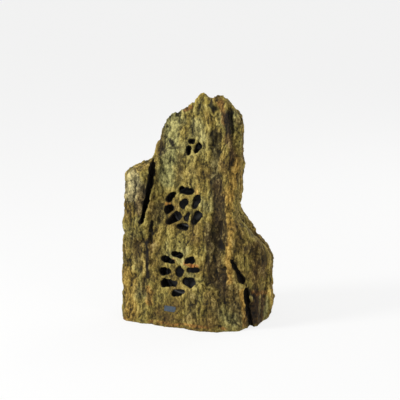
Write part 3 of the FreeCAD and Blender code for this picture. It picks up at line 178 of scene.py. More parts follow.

# Brush strokes that tint the stone with stain and rust, and that also paint shade into its hollows, crevices
# and shaded sides and paint highlights onto its lit ridges: places in mm right of and above the middle of the
# picture, as the camera sees them, then the brush's reach in mm to either side, hex colour and strength.
# Later strokes lie over earlier ones.
STROKES_OF_STAIN_AND_LIGHT = (
    # painted shade over a dark wash: valley, column below the crest, the finger's shaded right side, the
    # spur's hollow, the recess at the foot, and the base
    (((38, 168), (43, 50)), 16, "#3e3820", 0.86),
    (((49, 38), (56, -99)), 17, "#43341c", 0.90),
    (((39, -107), (44, -207)), 27, "#40331b", 0.86),
    (((73, 167), (87, 104)), 12, "#49341c", 0.85),
    (((92, 230), (99, 196)), 12, "#3a2712", 0.65),
    (((-152, 38), (-155, -24)), 16, "#453626", 0.80),
    (((-103, -14), (-110, -50)), 14, "#463c20", 0.70),
    (((-164, -115), (-150, -158)), 22, "#44361c", 0.65),
    (((149, -118), (157, -178)), 22, "#3d2c14", 0.72),
    (((128, -83), (120, -129)), 12, "#4f3d22", 0.70),
    (((144, -253), (141, -319)), 21, "#33210c", 0.95),
    (((162, -260), (157, -314)), 20, "#412a12", 0.90),
    (((70, -211), (60, -252)), 14, "#2f2516", 0.80),
    (((-52, 110), (-47, 50)), 11, "#3f371d", 0.75),
    (((26, -70), (19, -116)), 11, "#3a2f1a", 0.75),
    (((86, -236), (112, -303)), 25, "#4c3b1d", 0.75),
    (((-143, -161), (-147, -240)), 9, "#584622", 0.60),
    (((-23, -253), (-21, -311)), 17, "#52431f", 0.65),
    (((27, -256), (35, -323)), 21, "#55421f", 0.65),
    (((-73, -310), (19, -323)), 14, "#59461f", 0.55),
    (((-110, -120), (-102, -178)), 12, "#574a24", 0.50),
    # pale dry brush, with painted highlights on the lit ridge and on the lit left side of the finger: ridge,
    # upper left, finger, base and the rims on the right
    (((58, 154), (59, 112)), 8, "#9f8743", 0.60),
    (((99, 100), (76, 8), (72, -115)), 12, "#967634", 0.67),
    (((72, -115), (77, -213)), 9, "#8f6f30", 0.75),
    (((-68, 216), (-73, 162)), 26, "#97945f", 0.70),
    (((-81, 120), (-87, 50)), 25, "#878757", 0.66),
    (((-23, 116), (-21, 42)), 13, "#998a4c", 0.50),
    (((-9, 23), (-8, 17)), 6, "#c9a355", 0.65),
    (((-172, 67), (-185, 9)), 19, "#b0a478", 0.70),
    (((-166, 85), (-132, 93)), 10, "#9a8148", 0.55),
    (((-189, -195), (-184, -289)), 26, "#8f7130", 0.60),
    (((-48, -95), (-59, -124)), 20, "#8d8040", 0.50),
    (((189, -194), (187, -273)), 12, "#80672b", 0.65),
    (((102, -28), (151, -95)), 12, "#836d32", 0.55),
    (((8, 264), (23, 250)), 12, "#8f7d35", 0.60),
    (((110, 179), (105, 33)), 8, "#80652e", 0.65),
    (((-14, 195), (2, 162)), 16, "#a39a62", 0.55),
    (((179, -236), (186, -278)), 9, "#b89c4c", 0.75),
    (((111, -240), (115, -315)), 9, "#a17a30", 0.60),
    # rust: crest, webs between the holes, foot and the edge at the ground
    (((52, 257), (61, 209)), 10, "#6b4820", 0.75),
    (((-40, 235), (-21, 242)), 5, "#7a4c20", 0.70),
    (((-87, -9), (-77, -12)), 5, "#99682a", 0.70),
    (((-38, -166), (-20, -171), (-6, -171)), 5, "#8a4c20", 0.65),
    (((-69, -154), (-66, -156)), 4, "#7d4a22", 0.60),
    (((-130, -236), (-128, -261)), 10, "#8e5f26", 0.50),
    (((139, -242), (172, -240)), 6, "#6f4a20", 0.70),
    (((118, -282), (118, -323)), 8, "#5d4220", 0.60),
    (((-199, -309), (-123, -315), (-60, -324), (2, -331), (60, -334), (112, -327)), 4, "#956832", 0.60),
    # fine brush, mostly painted shade: near black in the slit and cracks of the crest, the nick and ledge on
    # the left, the valley, the spur's slit and the crack on the left; paler on the crack's lip and on the rim
    # of the topmost woofer hole
    (((73, 222), (79, 177)), 8, "#140e08", 0.95),
    (((66, 216), (70, 178)), 7, "#2a1e11", 0.85),
    (((30, 259), (34, 231)), 5, "#1e170d", 0.90),
    (((25, 247), (40, 236)), 5, "#26240f", 0.85),
    (((-76, 156), (-71, 144)), 6, "#140e08", 0.95),
    (((-101, 152), (-102, 122)), 5, "#1d150c", 0.75),
    (((-103, 116), (-79, 135), (-50, 139)), 4, "#38301a", 0.60),
    (((62, 13), (66, -60), (68, -116)), 5, "#231a0e", 0.80),
    (((18, -120), (25, -215)), 4, "#2a2010", 0.80),
    (((85, -162), (109, -209)), 8, "#15100a", 0.90),
    (((-123, -86), (-138, -112), (-139, -132), (-137, -153), (-135, -201)), 5, "#120d07", 0.97),
    (((-147, -116), (-145, -190)), 5, "#a8924c", 0.45),
    (((-52, 34), (-19, 34)), 3, "#9a8a4c", 0.40),
)


def on_rock(form, across, up):
    """Point of the rock, in mm, that the camera sees at a place in the picture."""
    target = PICTURE_CENTRE + (VIEW_RIGHT * across + VIEW_UP * up) * MM
    seen = form.ray_cast(EYE, (target - EYE).normalized())[0]
    return (seen or form.find_nearest(target)[0]) * PER_MM


def brushed_stain_and_light(tree, stain, frayed, steady):
    """The stain with all strokes laid over it, painted shade and painted highlights among them; broad ones
    fray, and fine ones are steady.
    """
    shell = NODES["rock_shell"].data
    form = BVHTree.FromPolygons([v.co for v in shell.vertices], [p.vertices for p in shell.polygons])
    for places, reach, tint, strength in STROKES_OF_STAIN_AND_LIGHT:
        here = frayed if reach > FINE_BRUSH else steady
        points = [on_rock(form, *place) for place in places]
        for start, end in zip(points, points[1:]):
            run = end - start
            pace = run / run.length_squared
            passed = add(tree, "ShaderNodeVectorMath", {0: here, 1: pace}, operation="DOT_PRODUCT")
            passed = add(
                tree, "ShaderNodeMath", {0: passed, 1: pace.dot(start)}, operation="SUBTRACT", use_clamp=True,
            )
            nearest = add(tree, "ShaderNodeVectorMath", {0: run, "Scale": passed}, operation="SCALE")
            nearest = add(tree, "ShaderNodeVectorMath", {0: nearest, 1: start}, operation="ADD")
            away = add(tree, "ShaderNodeVectorMath", {0: here, 1: nearest}, operation="DISTANCE")
            soft_edge = {"Value": away, "From Min": 0.5 * reach, "From Max": 1.5 * reach}
            share = add(
                tree, "ShaderNodeMapRange", {**soft_edge, "To Min": strength, "To Max": 0.0},
                interpolation_type="SMOOTHSTEP",
            )
            stain = add(tree, "ShaderNodeMix", {0: share, 6: stain, 7: linear(tint)}, data_type="RGBA")
    return stain


def painted_cast_stone():
    """Cast resin stone, stained by brush: dark wash stays in the grain, pale dry brush on what stands up;
    painted shade darkens its hollows, crevices and holes, and painted highlights lighten its lit ridges.
    """
    material, tree, shader = new_material("painted_cast_stone")
    place = add(tree, "ShaderNodeTexCoord").outputs["Object"]
    millimetres = add(tree, "ShaderNodeVectorMath", {0: place, "Scale": PER_MM}, operation="SCALE")
    grain, edge, openness = [
        add(tree, "ShaderNodeAttribute", attribute_name=name).outputs["Fac"]
        for name in ("grain", "edge", "openness")
    ]

    flakes = add(
        tree, "ShaderNodeMapping", {"Vector": millimetres, "Rotation": FLAKE_SLANT, "Scale": repeats(*FLAKE)},
    )
    runs = add(tree, "ShaderNodeVectorMath", {0: millimetres, 1: repeats(*RUN)}, operation="MULTIPLY")
    flakes, runs, pools, grit, patches = [
        add(
            tree, "ShaderNodeTexNoise",
            {"Vector": marks, "Scale": 1 / size, "Detail": detail, "Roughness": rough},
        )
        for marks, size, detail, rough in (
            (flakes, 1.0, 3.0, 0.7),
            (runs, 1.0, 4.0, 0.65),
            (millimetres, POOL, 4.0, 0.6),
            (millimetres, GRIT, 2.0, 0.7),
            (millimetres, PATCH, 3.0, 0.6),
        )
    ]

    stain = linear(UMBER)
    for start, end, tint in STAIN_TURNS:
        share = add(tree, "ShaderNodeMapRange", {"Value": patches, "From Min": start, "From Max": end})
        stain = add(tree, "ShaderNodeMix", {0: share, 6: stain, 7: linear(tint)}, data_type="RGBA")
    ragged = add(
        tree, "ShaderNodeVectorMath", {0: pools.outputs["Color"], 1: FRAY, 2: -FRAY / 2},
        operation="MULTIPLY_ADD",
    )
    frayed = add(tree, "ShaderNodeVectorMath", {0: millimetres, 1: ragged}, operation="ADD")
    steady = add(
        tree, "ShaderNodeVectorMath", {0: ragged, 1: [FINE_FRAY] * 3, 2: millimetres},
        operation="MULTIPLY_ADD",
    )
    stain = brushed_stain_and_light(tree, stain, frayed, steady)

    # The grain lightens or darkens the stain, from wash in the pits to paint caught on the flakes.
    tone = 0.0
    for layer, weight in ((flakes, 1.5), (runs, 1.1), (pools, 0.5), (grain, 0.8), (edge, 0.14), (grit, 0.7)):
        tone = add(tree, "ShaderNodeMath", {0: layer, 1: weight, 2: tone}, operation="MULTIPLY_ADD")
    tone = add(tree, "ShaderNodeMapRange", {"Value": tone, "From Min": DARKEST_TONE, "From Max": PALEST_TONE})
    light = add(tree, "ShaderNodeFloatCurve", {"Value": tone})
    curve = light.mapping.curves[0]
    curve.points[0].location = LIGHT_CURVE[0]
    curve.points[1].location = LIGHT_CURVE[-1]
    for spot in LIGHT_CURVE[1:-1]:
        curve.points.new(*spot)
    light.mapping.update()
    light = add(tree, "ShaderNodeMath", {0: light, 1: FLAKE_LIGHT}, operation="MULTIPLY")
    colour = add(tree, "ShaderNodeMix", {0: 1.0, 6: stain, 7: light}, data_type="RGBA", blend_type="MULTIPLY")

    caught = add(tree, "ShaderNodeMapRange", {"Value": tone, "From Min": CAUGHT_ABOVE, "To Max": CAUGHT_MOST})
    lightness = add(tree, "ShaderNodeRGBToBW", {0: stain})
    hold = add(
        tree, "ShaderNodeMapRange",
        {"Value": lightness, "From Min": CRACK_LIGHTNESS, "From Max": DARK_STROKE_LIGHTNESS},
    )
    caught = add(tree, "ShaderNodeMath", {0: caught, 1: hold}, operation="MULTIPLY")
    colour = add(tree, "ShaderNodeMix", {0: caught, 6: colour, 7: linear(STRAW)}, data_type="RGBA")

    # Painted shade: the less of the sky a point sees, the nearer its colour is to black.
    shelter = {"Value": openness, "From Min": SHADE_DARKEST_BELOW, "From Max": SHADE_GONE_ABOVE}
    painted_shade = add(
        tree, "ShaderNodeMapRange", {**shelter, "To Min": SHADE_MOST, "To Max": 0.0},
        interpolation_type="SMOOTHSTEP",
    )
    colour = add(tree, "ShaderNodeMix", {0: painted_shade, 6: colour, 7: linear(SHADE_BLACK)}, data_type="RGBA")

    pores = add(tree, "ShaderNodeMath", {0: grit, 1: flakes}, operation="ADD")
    bump = add(tree, "ShaderNodeBump", {"Strength": 0.6, "Distance": PORE_DEPTH * MM, "Height": pores})
    gritty = {"Value": grit, "From Min": NOISE_LOW, "From Max": NOISE_HIGH}
    matt = add(tree, "ShaderNodeMapRange", {**gritty, "To Min": LEAST_MATT, "To Max": MOST_MATT})
    fill(tree, shader, {
        "Base Color": colour,
        "Roughness": matt,
        "Normal": bump,
        "IOR": RESIN_IOR,
        "Specular IOR Level": 0.25,
    })
    return material


def flecked(name, dark, light, fleck, rough, stretch=(1, 1, 1), bump=0.0, metallic=0.0):
    """A finish with flecks of two tones, `fleck` mm across, that also break its gloss."""
    material, tree, shader = new_material(name)
    place = add(tree, "ShaderNodeTexCoord").outputs["Object"]
    scale = [PER_MM / (fleck * s) for s in stretch]
    flecks = add(tree, "ShaderNodeVectorMath", {0: place, 1: scale}, operation="MULTIPLY")
    flecks = add(
        tree, "ShaderNodeTexNoise", {"Vector": flecks, "Scale": 1.0, "Detail": 5.0, "Roughness": 0.6},
    )
    share = add(tree, "ShaderNodeMapRange", {"Value": flecks, "From Min": NOISE_LOW, "From Max": NOISE_HIGH})
    colour = add(tree, "ShaderNodeMix", {0: share, 6: linear(dark), 7: linear(light)}, data_type="RGBA")
    gloss = add(tree, "ShaderNodeMapRange", {"Value": share, "To Min": rough[0], "To Max": rough[1]})
    fill(tree, shader, {"Base Color": colour, "Roughness": gloss, "Metallic": metallic})
    if bump:
        relief = add(tree, "ShaderNodeBump", {"Strength": 0.6, "Distance": bump * MM, "Height": flecks})
        fill(tree, shader, {"Normal": relief})
    if not metallic:
        fill(tree, shader, {"IOR": RESIN_IOR})
    return material


# The openness of a point is the share of these directions, of those in front of it, that reach the sky. A
# direction that only grazes the surface doesn't count.
SKY_DIRECTIONS = 22
GRAZING = 0.1
# Openness from which a point is carved and from which it is fully carved, then the same for the wandering of
# edges. An edge is less open than a face, and a face wanders only by a small share.
CARVED_FROM = 0.3
CARVED_FULLY = 0.62
WANDER_FROM = 0.02
WANDER_FULLY = 0.2
EDGE_OPENNESS = 0.8
FACE_OPENNESS = 0.94
FACE_WANDER = 0.15

# Marks of the carved grain, in mm across and along it.
FIBRE = (9, 22)
LUMP = (16, 26)
GROOVE = (34, 240)
PLATE = (30, 130)
PIT = (11, 20)
CHIP = (17, 36)
# Half widths of a groove, in its noise, and of a crack, as a share of its plate; where in their noise pits
# start and are deepest.
GROOVE_WIDTH = 0.07
CRACK_WIDTH = 0.12
PIT_START = 0.58
PIT_BOTTOM = 0.74
# The grain bends by up to half this span in mm, in x, y and z, over this length.
BEND = Vector((36, 36, 20))
BEND_LENGTH = 120
# Edges wander to and fro over this length in mm.
WANDER_LENGTH = 18
# Grooves, cracks and pits only cut; this many mm are put back so that the rock keeps its bulk.
CARVED_MEAN = 1.0
# Carving in mm that counts as deepest and as highest for the paint.
GRAIN_DEEPEST = -7.0
GRAIN_HIGHEST = 4.0
# Foot of the rock in mm: up to where it stays as cast, and from where it is fully carved.
FOOT_PLAIN = 3
FOOT_CARVED = 18
# Around these places the stone is calmer: radius in mm, and shares of the carving and of the wandering that
# stay. The calm fades out over some mm more.
CALM_PLACES = (
    ("Badge", 24, 0.0, 0.0),
    ("Gland", 22, 0.0, 0.0),
    ("Upper Holes", 72, 0.8, 0.35),
    ("Lower Holes", 72, 0.8, 0.35),
    ("Tweeter Holes", 48, 0.8, 0.35),
)
CALM_FADE = 14
# Inputs of the tree that carves the grain.
GRAIN_INPUTS = (
    ("Skin", "Geometry"),
    ("Fibre Depth", "Float"),
    ("Lump Depth", "Float"),
    ("Groove Depth", "Float"),
    ("Crack Depth", "Float"),
    ("Pit Depth", "Float"),
    ("Chip Height", "Float"),
    ("Edge Wander", "Float"),
    ("Badge", "Vector"),
    ("Gland", "Vector"),
    ("Upper Holes", "Vector"),
    ("Lower Holes", "Vector"),
    ("Tweeter Holes", "Vector"),
    ("Lowest", "Vector"),
    ("Highest", "Vector"),
    ("Stone", "Material"),
)


def sky_directions():
    """Directions spread evenly all round, each a golden turn on from the last."""
    golden_turn = math.pi * (3 - math.sqrt(5))
    for step in range(SKY_DIRECTIONS):
        height = 1 - 2 * (step + 0.5) / SKY_DIRECTIONS
        across = math.sqrt(1 - height * height)
        yield (across * math.cos(golden_turn * step), across * math.sin(golden_turn * step), height)


def share_of_sky(tree, skin, place, normal):
    """How open to the sky each point of the skin is, from 0 to 1."""
    lifted = add(
        tree, "ShaderNodeVectorMath", {0: normal, 1: (MM, MM, MM), 2: place}, operation="MULTIPLY_ADD",
    )
    seen = 0.0
    faced = 0.0
    for direction in sky_directions():
        towards = add(tree, "ShaderNodeVectorMath", {0: normal, 1: direction}, operation="DOT_PRODUCT")
        facing = add(tree, "ShaderNodeMath", {0: towards, 1: GRAZING}, operation="GREATER_THAN")
        ray = add(tree, "GeometryNodeRaycast", {
            "Target Geometry": skin,
            "Source Position": lifted,
            "Ray Direction": direction,
            "Ray Length": 1.0,
        })
        clear = add(tree, "ShaderNodeMath", {0: 1.0, 1: ray.outputs["Is Hit"]}, operation="SUBTRACT")
        seen = add(tree, "ShaderNodeMath", {0: facing, 1: clear, 2: seen}, operation="MULTIPLY_ADD")
        faced = add(tree, "ShaderNodeMath", {0: facing, 1: faced}, operation="ADD")
    openness = add(tree, "ShaderNodeMath", {0: seen, 1: faced}, operation="DIVIDE")
    return add(tree, "GeometryNodeBlurAttribute", {"Value": openness, "Iterations": 2})


def carved_height(tree, given, millimetres):
    """Height of the grain over the cast form, in mm: one layer for each kind of mark, times its depth."""
    bend = add(
        tree, "ShaderNodeTexNoise", {"Vector": millimetres, "Scale": 1 / BEND_LENGTH, "Detail": 2.0},
    ).outputs["Color"]
    bend = add(tree, "ShaderNodeVectorMath", {0: bend, 1: BEND, 2: -BEND / 2}, operation="MULTIPLY_ADD")
    bent = add(tree, "ShaderNodeVectorMath", {0: millimetres, 1: bend}, operation="ADD")
    fibres, lumps, grooves, plates, pits, chips = [
        add(tree, "ShaderNodeVectorMath", {0: bent, 1: repeats(*mark)}, operation="MULTIPLY")
        for mark in (FIBRE, LUMP, GROOVE, PLATE, PIT, CHIP)
    ]

    # Fibres and lumps rise and sink.
    fibres, lumps = [
        add(
            tree, "ShaderNodeTexNoise", {"Vector": marks, "Scale": 1.0, "Detail": detail, "Roughness": 0.6},
        )
        for marks, detail in ((fibres, 3.0), (lumps, 4.0))
    ]
    fibres, lumps = [
        add(
            tree, "ShaderNodeMapRange",
            {"Value": waves, "From Min": NOISE_LOW, "From Max": NOISE_HIGH, "To Min": -1.0},
        )
        for waves in (fibres, lumps)
    ]
    # Grooves follow the middle values of a noise, and cracks the borders of tall plates; both cut.
    grooves = add(tree, "ShaderNodeTexNoise", {"Vector": grooves, "Scale": 1.0, "Detail": 2.0})
    grooves = add(tree, "ShaderNodeMath", {0: grooves, 1: 0.5}, operation="SUBTRACT")
    grooves = add(tree, "ShaderNodeMath", {0: grooves}, operation="ABSOLUTE")
    cracks = add(tree, "ShaderNodeTexVoronoi", {"Vector": plates, "Scale": 1.0}, feature="DISTANCE_TO_EDGE")
    grooves, cracks = [
        add(
            tree, "ShaderNodeMapRange", {"Value": away, "From Max": width, "To Min": -1.0, "To Max": 0.0},
            interpolation_type="SMOOTHSTEP",
        )
        for away, width in ((grooves, GROOVE_WIDTH), (cracks, CRACK_WIDTH))
    ]
    # Pits are the peaks of a noise, turned inwards.
    pits = add(tree, "ShaderNodeTexNoise", {"Vector": pits, "Scale": 1.0, "Detail": 2.0})
    pits = add(
        tree, "ShaderNodeMapRange",
        {"Value": pits, "From Min": PIT_START, "From Max": PIT_BOTTOM, "To Max": -1.0},
        interpolation_type="SMOOTHSTEP",
    )
    # Broken chips are each a step above or below their neighbours.
    chips = add(tree, "ShaderNodeTexVoronoi", {"Vector": chips, "Scale": 1.0}).outputs["Color"]
    chips = add(tree, "FunctionNodeSeparateColor", {0: chips})
    chips = add(tree, "ShaderNodeMapRange", {"Value": chips, "To Min": -1.0})

    height = 0.0
    for layer, depth in (
        (fibres, "Fibre Depth"),
        (lumps, "Lump Depth"),
        (grooves, "Groove Depth"),
        (cracks, "Crack Depth"),
        (pits, "Pit Depth"),
        (chips, "Chip Height"),
    ):
        height = add(tree, "ShaderNodeMath", {0: layer, 1: given[depth], 2: height}, operation="MULTIPLY_ADD")
    return add(tree, "ShaderNodeMath", {0: height, 1: CARVED_MEAN}, operation="ADD")


def weathering(tree, given, place, openness):
    """Shares of the carving and of the wandering that a point gets; seats and the inside stay as cast."""
    carved = add(
        tree, "ShaderNodeMapRange", {"Value": openness, "From Min": CARVED_FROM, "From Max": CARVED_FULLY},
        interpolation_type="SMOOTHSTEP",
    )
    wandered = add(
        tree, "ShaderNodeMapRange", {"Value": openness, "From Min": WANDER_FROM, "From Max": WANDER_FULLY},
    )
    up = add(tree, "ShaderNodeSeparateXYZ", {0: place}).outputs["Z"]
    foot = add(
        tree, "ShaderNodeMapRange", {"Value": up, "From Min": FOOT_PLAIN * MM, "From Max": FOOT_CARVED * MM},
    )
    carved = add(tree, "ShaderNodeMath", {0: carved, 1: foot}, operation="MULTIPLY")
    wandered = add(tree, "ShaderNodeMath", {0: wandered, 1: foot}, operation="MULTIPLY")
    for name, radius, carving_kept, wandering_kept in CALM_PLACES:
        away = add(tree, "ShaderNodeVectorMath", {0: place, 1: given[name]}, operation="DISTANCE")
        fade = {"Value": away, "From Min": radius * MM, "From Max": radius * MM + CALM_FADE * MM}
        kept = add(tree, "ShaderNodeMapRange", {**fade, "To Min": carving_kept})
        carved = add(tree, "ShaderNodeMath", {0: carved, 1: kept}, operation="MULTIPLY")
        kept = add(tree, "ShaderNodeMapRange", {**fade, "To Min": wandering_kept})
        wandered = add(tree, "ShaderNodeMath", {0: wandered, 1: kept}, operation="MULTIPLY")
    return carved, wandered


def rock_grain_tree():
    """Carves the rock's fibrous grain into a skin, and stores how deep, proud and open each point is."""
    tree = bpy.data.node_groups.new("rock_grain", "GeometryNodeTree")
    for name, kind in GRAIN_INPUTS:
        tree.interface.new_socket(name, in_out="INPUT", socket_type="NodeSocket" + kind)
    tree.interface.new_socket("Rock", in_out="OUTPUT", socket_type="NodeSocketGeometry")
    given = add(tree, "NodeGroupInput").outputs
    place = add(tree, "GeometryNodeInputPosition")
    normal = add(tree, "GeometryNodeInputNormal").outputs["Normal"]
    millimetres = add(tree, "ShaderNodeVectorMath", {0: place, "Scale": PER_MM}, operation="SCALE")

    openness = share_of_sky(tree, given["Skin"], place, normal)
    skin = add(
        tree, "GeometryNodeStoreNamedAttribute",
        {"Geometry": given["Skin"], "Name": "openness", "Value": openness},
    )
    openness = add(tree, "GeometryNodeInputNamedAttribute", {"Name": "openness"}).outputs["Attribute"]
    carved, wandered = weathering(tree, given, place, openness)
    height = carved_height(tree, given, millimetres)
    lift = add(tree, "ShaderNodeMath", {0: height, 1: carved}, operation="MULTIPLY")
    metres = add(tree, "ShaderNodeMath", {0: lift, 1: MM}, operation="MULTIPLY")
    offset = add(tree, "ShaderNodeVectorMath", {0: normal, "Scale": metres}, operation="SCALE")

    # Edges of holes and crevices wander, so that none looks drawn with a ruler; open faces hardly do.
    rim = add(tree, "GeometryNodeBlurAttribute", {"Value": openness, "Iterations": 8})
    rim = {"Value": rim, "From Min": EDGE_OPENNESS, "From Max": FACE_OPENNESS}
    rim = add(tree, "ShaderNodeMapRange", {**rim, "To Min": 1.0, "To Max": FACE_WANDER})
    wandered = add(tree, "ShaderNodeMath", {0: wandered, 1: rim}, operation="MULTIPLY")
    wander = add(
        tree, "ShaderNodeTexNoise", {"Vector": millimetres, "Scale": 1 / WANDER_LENGTH, "Detail": 2.0},
    ).outputs["Color"]
    wander = add(tree, "ShaderNodeVectorMath", {0: wander, 1: (0.5, 0.5, 0.5)}, operation="SUBTRACT")
    reach = add(tree, "ShaderNodeMath", {0: wandered, 1: given["Edge Wander"]}, operation="MULTIPLY")
    wander = add(tree, "ShaderNodeVectorMath", {0: wander, "Scale": reach}, operation="SCALE")
    offset = add(tree, "ShaderNodeVectorMath", {0: offset, 1: wander}, operation="ADD")
    moved = add(tree, "ShaderNodeVectorMath", {0: place, 1: offset}, operation="ADD")
    moved = add(tree, "ShaderNodeVectorMath", {0: moved, 1: given["Lowest"]}, operation="MAXIMUM")
    moved = add(tree, "ShaderNodeVectorMath", {0: moved, 1: given["Highest"]}, operation="MINIMUM")

    grain = add(
        tree, "ShaderNodeMapRange", {"Value": lift, "From Min": GRAIN_DEEPEST, "From Max": GRAIN_HIGHEST},
    )
    skin = add(tree, "GeometryNodeStoreNamedAttribute", {"Geometry": skin, "Name": "grain", "Value": grain})
    skin = add(tree, "GeometryNodeSetPosition", {"Geometry": skin, "Position": moved})
    # Edges that stand out catch the dry brush, creases keep the wash: mm above the mean of the skin around.
    around = add(
        tree, "GeometryNodeBlurAttribute", {"Value": place, "Iterations": 5}, data_type="FLOAT_VECTOR",
    )
    proud = add(tree, "ShaderNodeVectorMath", {0: place, 1: around}, operation="SUBTRACT")
    proud = add(tree, "ShaderNodeVectorMath", {0: proud, 1: normal}, operation="DOT_PRODUCT")
    proud = add(tree, "ShaderNodeMapRange", {"Value": proud, "From Min": -MM, "From Max": MM, "To Min": -1.0})
    skin = add(tree, "GeometryNodeStoreNamedAttribute", {"Geometry": skin, "Name": "edge", "Value": proud})
    skin = add(tree, "GeometryNodeSetShadeSmooth", {"Geometry": skin})
    skin = add(tree, "GeometryNodeRealizeInstances", {"Geometry": skin})
    skin = add(tree, "GeometryNodeSetMaterial", {"Geometry": skin, "Material": given["Stone"]})
    add(tree, "NodeGroupOutput", {"Rock": skin})
    return tree


def show(mesh, name):
    """Puts a mesh into the scene as an object of its own."""
    piece = bpy.data.objects.new(name, mesh)
    mesh.name = name
    bpy.context.scene.collection.objects.link(piece)
    return piece


def plain_mesh(piece, name):
    """The evaluated piece as a plain mesh object of its own; the piece it was made from is removed."""
    graph = bpy.context.evaluated_depsgraph_get()
    mesh = bpy.data.meshes.new_from_object(piece.evaluated_get(graph))
    mesh.validate()
    bpy.data.objects.remove(piece)
    return show(mesh, name)


def merged_form(node):
    """The node's own form, to be worked on, with its loose triangles joined."""
    form = bmesh.new()
    form.from_mesh(NODES[node].data)
    bmesh.ops.remove_doubles(form, verts=form.verts, dist=SAME_POINT)
    return form


def mesh_of(form, name):
    """A mesh without materials from a worked form, which is then freed."""
    mesh = bpy.data.meshes.new(name)
    form.to_mesh(mesh)
    form.free()
    mesh.materials.clear()
    return mesh


def middle_of(node):
    """Middle of a node's box."""
    lowest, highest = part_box(node)
    return (lowest + highest) / 2


# The rock is cast in facets of this size. A place that sees less of the sky than this share hardly shows, and
# keeps only this share of its facets.
FACET = 3.1 * MM
HIDDEN_BELOW = 0.3
HIDDEN_KEPT = 0.06


def make_rock():
    """The shell's own form, cast finer and carved with grain."""
    rock = show(mesh_of(merged_form("rock_shell"), "rock_form"), "rock_form")
    finer = rock.modifiers.new("finer", "REMESH")
    finer.mode = "VOXEL"
    finer.voxel_size = FACET
    carve = rock.modifiers.new("carve", "NODES")
    carve.node_group = rock_grain_tree()
    lowest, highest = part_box("rock_shell")
    # Depths and heights are in mm, as the tree works in mm; the wander and the places are in metres.
    sizes = {
        "Fibre Depth": 1.5,
        "Lump Depth": 1.6,
        "Groove Depth": 1.8,
        "Crack Depth": 1.8,
        "Pit Depth": 2.0,
        "Chip Height": 1.3,
        "Edge Wander": 14 * MM,
        "Badge": middle_of("badge_plate"),
        "Gland": middle_of("gland_cap"),
        "Upper Holes": middle_of("upper_woofer_gasket"),
        "Lower Holes": middle_of("lower_woofer_gasket"),
        "Tweeter Holes": middle_of("tweeter_gasket"),
        "Lowest": lowest,
        "Highest": highest,
        "Stone": painted_cast_stone(),
    }
    for socket in carve.node_group.interface.items_tree:
        if socket.name in sizes:
            carve[socket.identifier] = sizes[socket.name]
    rock = plain_mesh(rock, "rock_carved")

    openness = [0.0] * len(rock.data.vertices)
    rock.data.attributes["openness"].data.foreach_get("value", openness)
    hidden = [index for index, share in enumerate(openness) if share < HIDDEN_BELOW]
    rock.vertex_groups.new(name="hidden").add(hidden, 1.0, "REPLACE")
    thin = rock.modifiers.new("thin", "DECIMATE")
    thin.vertex_group = "hidden"
    thin.ratio = 1 - len(hidden) / len(openness) * (1 - HIDDEN_KEPT)
    return plain_mesh(rock, "rock_skin")


rock = make_rock()
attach(rock, "enclosure")
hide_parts("rock_shell")

